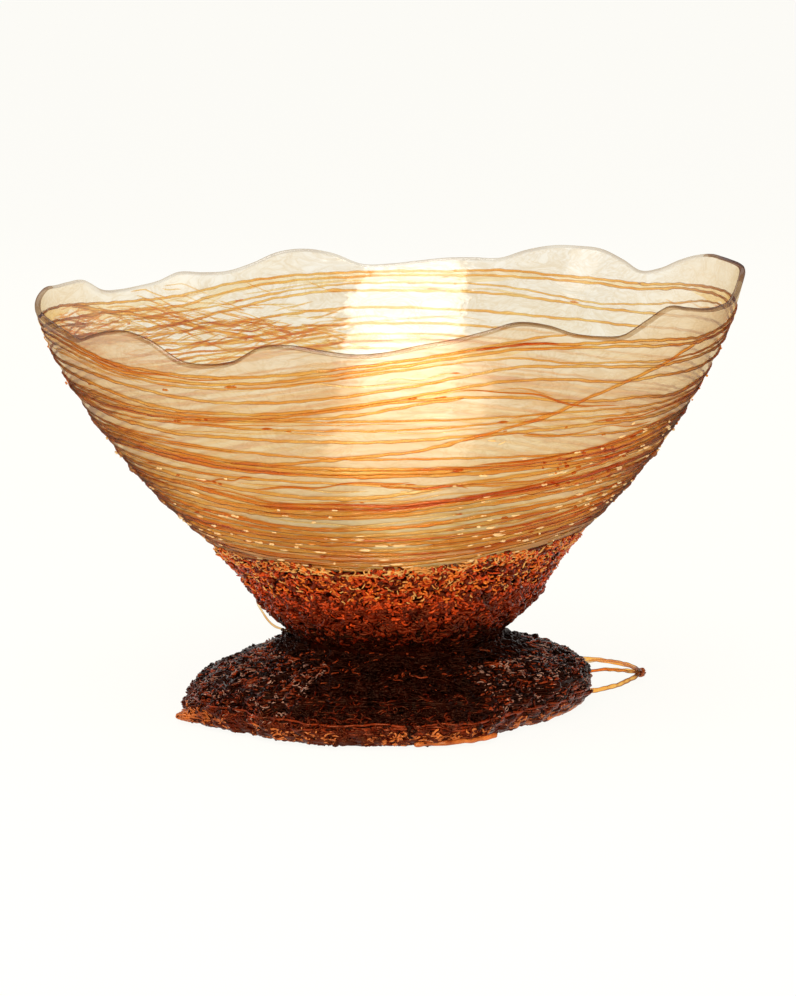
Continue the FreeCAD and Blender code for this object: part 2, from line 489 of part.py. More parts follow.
rounded.Base = (turned, ["Edge%d" % (i + 1) for i, e in enumerate(turned.Shape.Edges)
                         if e.Curve.TypeId == "Part::GeomCircle"])
rounded.Radius = 3.0
doc.recompute()
pad.Tip = rounded
keep(pad, "neck_pad")
pad.Placement = Placement(Vector(dim("lean_shift") * 0.6, 0, 31.0), Rotation(Vector(0, 1, 0), dim("lean_angle")))

# The tangle that hides the join: bands lofted through rings, hollowed by the skin.
for label, names, low, high in [("neck_nest", ["a", "b"], -1.5, 13.0),
                                ("cup_nest_lower", ["b", "c"], 13.0, 31.0),
                                ("cup_nest_upper", ["d", "e"], 31.0, 51.0)]:
    heights = dict(zip("abcde", STATION_HEIGHT))
    outline = dict(zip("abcde", NEST_OUTLINE))

    def nest_radius(height):
        keys = "abcde"
        for a, b in zip(keys, keys[1:]):
            if height <= heights[b] or b == "e":
                return a, b, (height - heights[a]) / (heights[b] - heights[a])

    rings = []
    for number in range(4):
        z = low + (high - low) * number / 3.0
        a, b, share = nest_radius(z)
        swell = 0.0 if number in (0, 3) else 1.0
        rings.append(ring("%s_ring_%d" % (label, number),
                          "Dims.nest_radius_%s * %.4f + Dims.nest_radius_%s * %.4f + Dims.nest_proud * %.2f"
                          % (a, 1 - share, b, share, 0.4 + 0.6 * swell), "%.3f mm" % z))
    band = ring_loft(label + "_band", rings)
    nest = doc.addObject("Part::Cut", label)
    nest.Base = band
    nest.Tool = outer
    lean(keep(nest, label))

# The blob where the loose loops meet, and the flattened leaf at the foot's left.
knot = doc.addObject("Part::Ellipsoid", "loop_knot")
knot.setExpression("Radius1", "Dims.knot_width")
knot.setExpression("Radius2", "Dims.knot_length")
knot.setExpression("Radius3", "Dims.knot_width")
keep(knot, "loop_knot").Placement = Placement(Vector(131.5, 60.0, 4.2), Rotation(Vector(0, 0, 1), 65))
leaf = doc.addObject("Part::Ellipsoid", "foot_leaf")
leaf.setExpression("Radius1", "Dims.leaf_thickness")
leaf.setExpression("Radius2", "Dims.leaf_length")
leaf.setExpression("Radius3", "Dims.leaf_width")
keep(leaf, "foot_leaf").Placement = Placement(Vector(-97.0, -36.0, 3.1), Rotation(Vector(0, 0, 1), 200))
doc.recompute()

# ---------------------------------------------------------------- checks and export
for obj in doc.Objects:
    if "Invalid" in obj.State or "Error" in obj.State:
        raise RuntimeError("%s did not compute: %s" % (obj.Label, obj.State))
for label, obj in parts.items():
    shape = obj.Shape
    if shape.isNull() or not shape.isValid():
        raise RuntimeError("%s has no valid shape" % label)
    if shape.Volume <= 0:
        raise RuntimeError("%s is inside out" % label)
    if len(shape.Solids) != 1:
        raise RuntimeError("%s has %d solids" % (label, len(shape.Solids)))
    if shape.BoundBox.ZMin < -0.001:
        raise RuntimeError("%s reaches below the table: %.3f" % (label, shape.BoundBox.ZMin))

os.makedirs("parts", exist_ok=True)
for label, obj in parts.items():
    obj.Shape.exportStep(os.path.join("parts", label + ".step"))
    box = obj.Shape.BoundBox
    print("%-18s volume %9.1f mm3  x %7.1f..%-7.1f y %7.1f..%-7.1f z %6.1f..%-6.1f" % (
        label, obj.Shape.Volume, box.XMin, box.XMax, box.YMin, box.YMax, box.ZMin, box.ZMax))
print(len(parts), "parts")
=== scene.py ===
"""Art glass bowl: looks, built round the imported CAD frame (metres, +Z up)."""
import math

import bpy
import numpy as np
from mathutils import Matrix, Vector


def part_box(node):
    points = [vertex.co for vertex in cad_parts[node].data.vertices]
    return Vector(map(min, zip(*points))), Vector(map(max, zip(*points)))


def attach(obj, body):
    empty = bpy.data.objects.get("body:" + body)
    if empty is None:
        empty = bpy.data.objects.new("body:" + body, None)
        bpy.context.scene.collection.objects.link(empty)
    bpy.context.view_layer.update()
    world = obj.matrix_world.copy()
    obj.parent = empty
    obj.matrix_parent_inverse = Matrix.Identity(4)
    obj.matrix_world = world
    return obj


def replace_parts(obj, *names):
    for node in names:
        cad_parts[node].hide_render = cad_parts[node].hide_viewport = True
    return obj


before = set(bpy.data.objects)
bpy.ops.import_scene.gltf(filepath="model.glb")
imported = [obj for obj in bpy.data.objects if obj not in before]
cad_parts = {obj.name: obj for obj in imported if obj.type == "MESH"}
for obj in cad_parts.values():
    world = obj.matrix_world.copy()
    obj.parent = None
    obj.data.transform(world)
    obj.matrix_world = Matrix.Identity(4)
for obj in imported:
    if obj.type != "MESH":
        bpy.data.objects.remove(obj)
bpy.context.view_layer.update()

scene = bpy.context.scene
MM = 0.001

# ------------------------------------------------------------------ camera
camera_data = bpy.data.cameras.new("camera")
camera_data.sensor_width = 36.0
camera_data.lens = 159.0
camera = bpy.data.objects.new("camera", camera_data)
scene.collection.objects.link(camera)
camera.location = (0.004, -2.2, 0.504)
camera.rotation_euler = (math.radians(90 - 10.2), 0, 0)
scene.camera = camera

# ------------------------------------------------------------------ the same tables as part.py
LEAN, SHIFT, NECK = math.radians(-1.85), 4.9, 38.0
WALL = 2.6
GAUGE = {"gauge_main": 2.3, "gauge_thin": 1.6, "gauge_thick": 3.1}
SINK = 0.45
RIM_HEIGHT = [
    182.4, 182.2, 181.9, 181.7, 181.5, 179.5, 175.6, 170.0, 167.5, 172.6, 176.9, 177.7,
    177.4, 174.7, 170.2, 170.3, 170.1, 168.8, 167.6, 168.1, 174.5, 177.8, 177.1, 172.4,
    169.5, 170.1, 171.9, 168.8, 167.9, 167.9, 169.7, 176.7, 177.8, 178.2, 179.4, 178.7,
    177.4, 175.9, 175.3, 175.0, 173.7, 171.4, 168.6, 172.1, 175.5, 176.9, 173.2, 164.4,
    163.1, 165.4, 172.8, 173.8, 171.1, 169.0, 169.9, 172.7, 174.7, 177.6, 180.8, 178.3,
    172.7, 169.6, 168.6, 174.0, 178.8, 176.4, 173.8, 172.2, 171.6, 171.7, 175.2, 180.9]

THREADS = {
    "thread_a1": ("gauge_main", [
        165.0, 166.0, 165.4, 163.4, 161.2, 161.5, 162.5, 164.0, 163.5, 164.0, 164.5, 164.2,
        163.0, 160.0, 160.9, 163.0, 166.6, 168.6, 169.6, 170.0, 170.0, 165.8, 160.4, 158.3,
        157.7, 158.9, 162.2, 165.3, 168.7, 170.7, 168.4, 166.0, 163.3, 160.0, 160.8, 163.0]),
    "thread_a2": ("gauge_main", [
        160.0, 162.7, 162.8, 161.4, 158.5, 159.1, 160.1, 161.0, 161.5, 161.9, 162.0, 161.5,
        159.2, 155.0, 156.1, 158.0, 159.9, 162.0, 164.2, 166.0, 167.0, 163.0, 157.2, 154.7,
        154.1, 155.7, 159.5, 162.9, 166.5, 168.2, 166.5, 163.6, 160.3, 157.8, 158.0, 158.8]),
    "thread_a3": ("gauge_thin", [
        156.0, 159.1, 158.1, 153.7, 150.8, 149.3, 152.5, 155.9, 157.4, 158.1, 158.3, 156.2,
        153.5, 151.8, 151.9, 152.8, 156.4, 159.1, 161.0, 163.0, 163.0, 160.0, 155.3, 152.3,
        151.8, 153.2, 157.0, 160.7, 163.8, 164.0, 158.9, 155.8, 152.6, 151.8, 152.4, 153.8]),
    "thread_a4": ("gauge_main", [
        151.0, 150.7, 150.0, 147.7, 147.0, 147.0, 149.6, 151.8, 153.1, 154.1, 155.1, 153.8,
        150.1, 146.7, 146.3, 148.0, 150.8, 152.8, 154.0, 155.0, 154.0, 153.0, 150.0, 146.8,
        144.9, 145.6, 148.1, 151.7, 156.3, 159.5, 157.3, 153.6, 150.2, 149.5, 149.7, 150.4]),
    "thread_a5": ("gauge_main", [
        144.0, 143.7, 143.0, 141.3, 140.0, 140.3, 141.0, 142.4, 144.0, 145.3, 146.0, 144.7,
        143.0, 142.3, 142.0, 143.4, 146.0, 149.0, 150.5, 151.0, 149.0, 146.6, 142.2, 139.3,
        138.8, 139.9, 142.7, 146.7, 150.7, 153.0, 150.6, 145.8, 144.7, 143.0, 143.0, 143.3]),
    "thread_a6": ("gauge_main", [
        135.8, 135.8, 134.6, 133.4, 132.2, 132.2, 133.3, 134.7, 136.4, 137.4, 137.9, 137.4,
        134.6, 134.0, 134.0, 134.6, 137.6, 140.1, 142.0, 143.0, 142.0, 140.5, 138.2, 137.0,
        136.6, 138.0, 141.6, 145.0, 146.5, 144.5, 139.8, 136.5, 134.6, 131.6, 133.4, 135.0]),
    "thread_a8": ("gauge_thin", [
        130.0, 129.7, 129.0, 127.6, 126.5, 127.0, 128.0, 129.5, 131.0, 132.0, 132.5, 130.8,
        129.0, 129.0, 129.0, 130.9, 134.0, 136.5, 137.0, 137.0, 136.8, 135.6, 134.6, 134.0,
        134.5, 135.7, 136.0, 135.8, 135.2, 134.4, 133.7, 131.8, 129.5, 128.8, 129.2, 129.7]),
    "thread_a9": ("gauge_thin", [
        127.0, 126.2, 125.0, 123.8, 123.0, 123.7, 125.0, 126.6, 128.0, 128.7, 129.0, 127.5,
        126.0, 126.3, 127.0, 128.7, 131.0, 133.4, 134.0, 134.0, 132.0, 131.8, 131.8, 131.9,
        131.8, 131.5, 131.1, 131.0, 131.0, 131.5, 130.0, 128.2, 126.4, 126.0, 126.7, 127.0]),
    "thread_b1": ("gauge_main", [
        124.5, 123.4, 121.7, 120.4, 119.2, 119.2, 120.4, 121.7, 123.3, 124.6, 125.8, 125.5,
        123.5, 123.1, 123.6, 124.9, 128.2, 131.9, 135.5, 136.9, 134.5, 129.9, 128.0, 125.8,
        126.2, 125.6, 125.1, 125.0, 125.6, 125.9, 125.3, 124.5, 122.7, 122.2, 124.3, 125.0]),
    "thread_b2": ("gauge_thin", [
        118.0, 117.3, 116.0, 114.2, 113.0, 113.3, 114.0, 115.4, 117.0, 118.3, 119.0, 118.0,
        117.0, 117.3, 118.0, 120.1, 123.0, 126.3, 127.0, 127.0, 125.5, 123.5, 121.5, 120.3,
        119.1, 117.3, 116.4, 115.3, 114.6, 113.1, 111.0, 110.9, 112.9, 115.6, 117.6, 118.0]),
    "thread_b4": ("gauge_thick", [
        113.0, 112.1, 111.0, 109.2, 108.0, 108.3, 109.0, 110.5, 112.0, 112.7, 113.0, 112.0,
        111.0, 111.3, 112.0, 114.3, 117.0, 118.7, 119.0, 119.0, 116.7, 117.2, 115.0, 113.0,
        110.4, 109.5, 108.8, 108.1, 107.8, 108.3, 108.8, 109.2, 109.6, 113.0, 113.9, 113.8]),
    "thread_b5": ("gauge_main", [
        110.0, 109.1, 108.0, 106.8, 106.0, 106.3, 107.0, 108.5, 110.0, 110.7, 111.0, 110.5,
        110.0, 110.6, 112.0, 114.8, 118.0, 120.3, 121.5, 122.0, 121.5, 120.6, 117.9, 115.2,
        112.8, 111.4, 110.6, 109.9, 109.3, 107.4, 106.9, 106.9, 107.3, 109.0, 110.6, 110.8]),
    "thread_b6": ("gauge_main", [
        107.5, 106.4, 105.0, 103.7, 103.0, 103.5, 104.5, 105.8, 107.0, 108.0, 108.5, 107.2,
        106.0, 106.6, 108.0, 110.4, 113.0, 114.7, 114.9, 114.5, 114.0, 114.0, 112.5, 110.2,
        108.3, 107.4, 106.7, 106.1, 105.7, 105.1, 104.9, 104.5, 104.3, 106.6, 107.8, 107.9]),
    "thread_b7": ("gauge_thin", [
        104.0, 103.3, 102.0, 100.2, 99.0, 99.3, 100.0, 101.4, 103.0, 104.3, 105.0, 104.0,
        103.0, 103.3, 104.0, 105.4, 107.0, 108.2, 108.5, 108.5, 107.8, 107.0, 106.0, 104.4,
        104.0, 103.3, 102.3, 100.9, 99.4, 97.8, 96.9, 99.9, 101.8, 103.2, 104.0, 104.0]),
    "thread_b8": ("gauge_main", [
        106.0, 105.2, 104.0, 102.8, 102.0, 102.4, 103.0, 103.6, 104.0, 103.7, 103.0, 101.8,
        101.0, 101.0, 101.0, 101.8, 103.0, 103.8, 103.9, 103.5, 103.2, 102.6, 101.4, 99.7,
        96.8, 94.8, 94.2, 95.4, 99.3, 100.8, 101.8, 103.0, 104.1, 105.2, 106.0, 106.0]),
    "thread_c1": ("gauge_main", [
        98.0, 97.1, 96.0, 94.8, 94.0, 94.3, 95.0, 96.4, 98.0, 99.0, 99.5, 98.4,
        97.0, 96.3, 96.0, 96.8, 98.0, 98.7, 98.8, 98.5, 98.2, 97.6, 96.8, 93.8,
        90.0, 89.4, 89.4, 89.7, 91.0, 92.9, 94.3, 95.8, 97.0, 97.9, 98.4, 98.4]),
    "thread_c2": ("gauge_thick", [
        93.0, 92.1, 91.0, 90.0, 89.5, 90.0, 91.0, 92.6, 94.0, 94.7, 95.0, 93.9,
        92.5, 92.1, 92.0, 92.4, 93.0, 93.8, 94.0, 93.8, 93.3, 92.7, 91.8, 89.0,
        86.7, 85.9, 85.8, 86.6, 88.9, 90.8, 91.9, 92.8, 93.5, 93.9, 93.9, 93.6]),
    "thread_c3": ("gauge_main", [
        89.0, 88.0, 87.0, 86.3, 86.0, 86.6, 87.5, 88.3, 89.0, 89.7, 90.0, 89.0,
        88.0, 88.0, 88.0, 88.4, 89.0, 89.8, 90.0, 90.0, 89.3, 88.3, 86.9, 85.3,
        83.8, 82.9, 83.0, 84.1, 85.7, 87.0, 88.1, 89.0, 89.5, 89.9, 89.9, 89.6]),
    "thread_c4": ("gauge_main", [
        84.5, 83.5, 82.2, 82.0, 82.0, 82.2, 83.4, 84.6, 85.8, 85.9, 85.3, 84.5,
        83.2, 83.0, 83.0, 83.3, 84.5, 85.3, 85.8, 86.0, 85.3, 84.2, 82.7, 80.4,
        77.4, 76.3, 76.0, 77.0, 78.7, 80.4, 82.0, 83.1, 84.0, 84.6, 85.3, 85.3]),
    "thread_c5": ("gauge_main", [
        80.3, 79.5, 78.3, 78.0, 78.0, 78.2, 79.4, 80.6, 81.8, 81.9, 81.3, 80.5,
        79.2, 79.0, 79.0, 79.3, 80.5, 81.3, 81.8, 82.0, 81.5, 80.4, 78.8, 76.6,
        74.6, 73.1, 72.8, 73.0, 74.2, 75.6, 77.2, 78.6, 79.7, 80.5, 81.0, 80.8]),
    "thread_c6": ("gauge_thick", [
        76.5, 75.4, 74.2, 74.0, 74.0, 74.2, 75.4, 76.6, 77.8, 77.9, 77.3, 76.5,
        75.2, 75.0, 75.3, 75.8, 76.7, 77.2, 77.6, 77.8, 77.2, 76.0, 74.7, 73.2,
        71.6, 70.5, 70.0, 69.8, 70.2, 70.6, 71.5, 73.4, 75.4, 77.2, 78.0, 77.5]),
    "thread_c7": ("gauge_main", [
        74.0, 73.0, 71.8, 71.0, 71.0, 71.0, 71.8, 73.0, 73.7, 74.0, 73.7, 73.0,
        71.8, 71.0, 71.3, 72.0, 72.9, 73.6, 73.9, 74.0, 73.3, 72.0, 70.7, 69.4,
        68.4, 67.5, 67.0, 66.8, 67.1, 67.7, 68.6, 70.1, 72.0, 73.6, 74.2, 74.5]),
    "thread_c8": ("gauge_main", [
        70.7, 69.5, 68.5, 67.7, 67.5, 67.8, 68.4, 69.5, 70.3, 70.9, 70.8, 69.5,
        68.7, 68.1, 68.1, 68.7, 69.2, 69.8, 70.2, 70.4, 69.8, 68.6, 67.4, 66.2,
        65.2, 64.3, 63.7, 63.4, 64.0, 65.0, 66.5, 68.1, 69.8, 71.1, 71.4, 71.2]),
    "thread_d1": ("gauge_main", [
        67.6, 66.5, 65.5, 64.7, 64.5, 64.8, 65.4, 66.5, 67.3, 67.9, 67.8, 66.5,
        65.7, 65.1, 65.1, 65.3, 65.7, 66.2, 66.6, 66.8, 66.2, 65.2, 64.3, 63.4,
        62.5, 61.5, 60.8, 60.8, 61.1, 62.6, 64.1, 65.6, 67.0, 68.3, 68.5, 68.2]),
    "thread_d2": ("gauge_thick", [
        64.7, 63.6, 62.4, 61.2, 61.1, 61.7, 62.4, 63.6, 64.3, 64.9, 64.8, 63.6,
        62.5, 61.7, 61.6, 61.8, 62.2, 62.5, 62.9, 63.0, 62.5, 61.5, 60.0, 59.0,
        58.6, 58.2, 57.7, 57.4, 57.7, 59.1, 61.0, 62.8, 64.3, 65.2, 65.2, 65.1]),
    "thread_d3": ("gauge_main", [
        61.2, 60.0, 58.8, 58.0, 58.1, 58.5, 59.4, 60.5, 61.5, 62.0, 61.2, 60.0,
        59.0, 58.5, 58.5, 58.5, 58.7, 59.2, 59.8, 60.0, 59.2, 58.0, 56.9, 56.0,
        55.3, 54.5, 54.0, 54.0, 55.0, 56.5, 58.3, 60.0, 61.6, 62.0, 62.0, 62.0]),
    "thread_d4": ("gauge_thick", [
        58.2, 57.1, 55.9, 54.7, 54.5, 54.8, 55.3, 56.5, 57.5, 58.3, 58.3, 57.4,
        56.6, 55.8, 55.3, 55.0, 55.1, 55.6, 56.2, 56.5, 55.9, 55.0, 54.1, 53.3,
        52.6, 51.7, 51.0, 50.8, 51.1, 52.4, 54.1, 56.0, 57.8, 58.8, 59.0, 58.7]),
}

SHORT_THREADS = {
    "thread_a7": ("gauge_main", [
        (-168.0, 140.0), (-159.8, 139.1), (-151.6, 137.8), (-143.5, 136.4), (-135.3, 135.4), (-127.1, 135.2),
        (-118.9, 135.8), (-110.7, 136.8), (-102.5, 137.7), (-94.4, 139.6), (-86.2, 143.8), (-78.0, 146.0)]),
    "thread_a0": ("gauge_thin", [
        (-84.0, 167.8), (-76.5, 170.6), (-69.0, 172.8), (-61.5, 173.3)]),
    "thread_slant": ("gauge_main", [
        (-122.0, 112.0), (-114.3, 112.5), (-106.7, 114.0), (-99.0, 116.3), (-91.3, 118.1), (-83.7, 120.1),
        (-76.0, 124.7), (-68.3, 129.2), (-60.7, 134.0), (-53.0, 141.0), (-45.3, 146.4), (-37.7, 151.4),
        (-30.0, 157.5)]),
    "thread_b3": ("gauge_thin", [
        (-66.0, 123.8), (-58.0, 121.1), (-49.9, 118.9), (-41.9, 117.2), (-33.9, 117.0), (-25.8, 117.0),
        (-17.8, 117.0), (-9.8, 116.9), (-1.7, 116.5), (6.3, 115.8), (14.3, 114.9), (22.4, 113.3),
        (30.4, 111.5), (38.4, 110.5), (46.5, 110.7), (54.5, 111.4), (62.5, 112.2), (70.6, 113.1),
        (78.6, 114.0), (86.6, 115.0), (94.7, 115.8), (102.7, 116.0), (110.7, 115.7), (118.8, 115.3),
        (126.8, 115.0), (134.8, 115.3), (142.9, 117.0), (150.9, 119.1), (158.9, 120.8), (167.0, 122.4),
        (175.0, 124.0)]),
    "feather_one": ("gauge_thin", [
        (94.8, 124.1), (103.5, 134.2), (112.3, 139.4), (121.0, 144.3)]),
    "feather_two": ("gauge_thick", [
        (115.3, 132.7), (122.8, 138.3), (130.2, 144.8), (137.7, 151.2), (145.1, 156.1), (152.6, 161.0),
        (160.0, 166.0)]),
    "feather_three": ("gauge_main", [
        (97.8, 139.0), (106.2, 135.7), (114.6, 132.7), (123.0, 133.5), (131.4, 135.4), (139.8, 138.9),
        (148.2, 143.0), (156.6, 147.4), (165.0, 152.0)]),
}

# Threads of the foot and the loose loops beside it, in the table's frame.
FOOT_THREADS = {
    "foot_loop_a": ("loop_thread", [(97, 22, 17), (106, 26, 18), (117, 36, 15.5), (126, 47, 10), (132, 58, 5.5)]),
    "foot_loop_b": ("loop_thread", [(96, 12, 13), (105, 22, 13.5), (115, 33, 11.5), (124, 45, 8), (132, 59, 4.5)]),
    "foot_loop_c": ("loop_thread_heavy", [(92, 14, 5), (101, 19, 3.4), (112, 27, 3.2), (122, 40, 3.4), (130, 56, 4.4), (128, 70, 5), (117, 78, 6), (101, 77, 8), (86, 70, 9)]),
    "foot_loop_d": ("loop_thread", [(90, 34, 9), (101, 38, 9.5), (112, 46, 9), (121, 54, 7), (130, 61, 4.5)]),
    "neck_loop": ("loop_thread", [(-66, -12, 64), (-67.5, -13, 59), (-66, -14, 54), (-63, -14, 49), (-58.5, -13, 44.5), (-51, -12, 41)]),
    "front_ribbon": ("loop_thread_heavy", [(-22, -94, 3.0), (-6, -96, 2.6), (12, -96, 2.5), (30, -92.5, 2.6), (44, -86, 2.8), (53, -80.5, 3.4)]),
    "cut_thread_end": ("loop_thread_heavy", [(62, -58, 4.5), (74, -46, 3.4), (84, -32, 2.8), (92, -17, 2.8), (98, -3, 3.6)]),
}

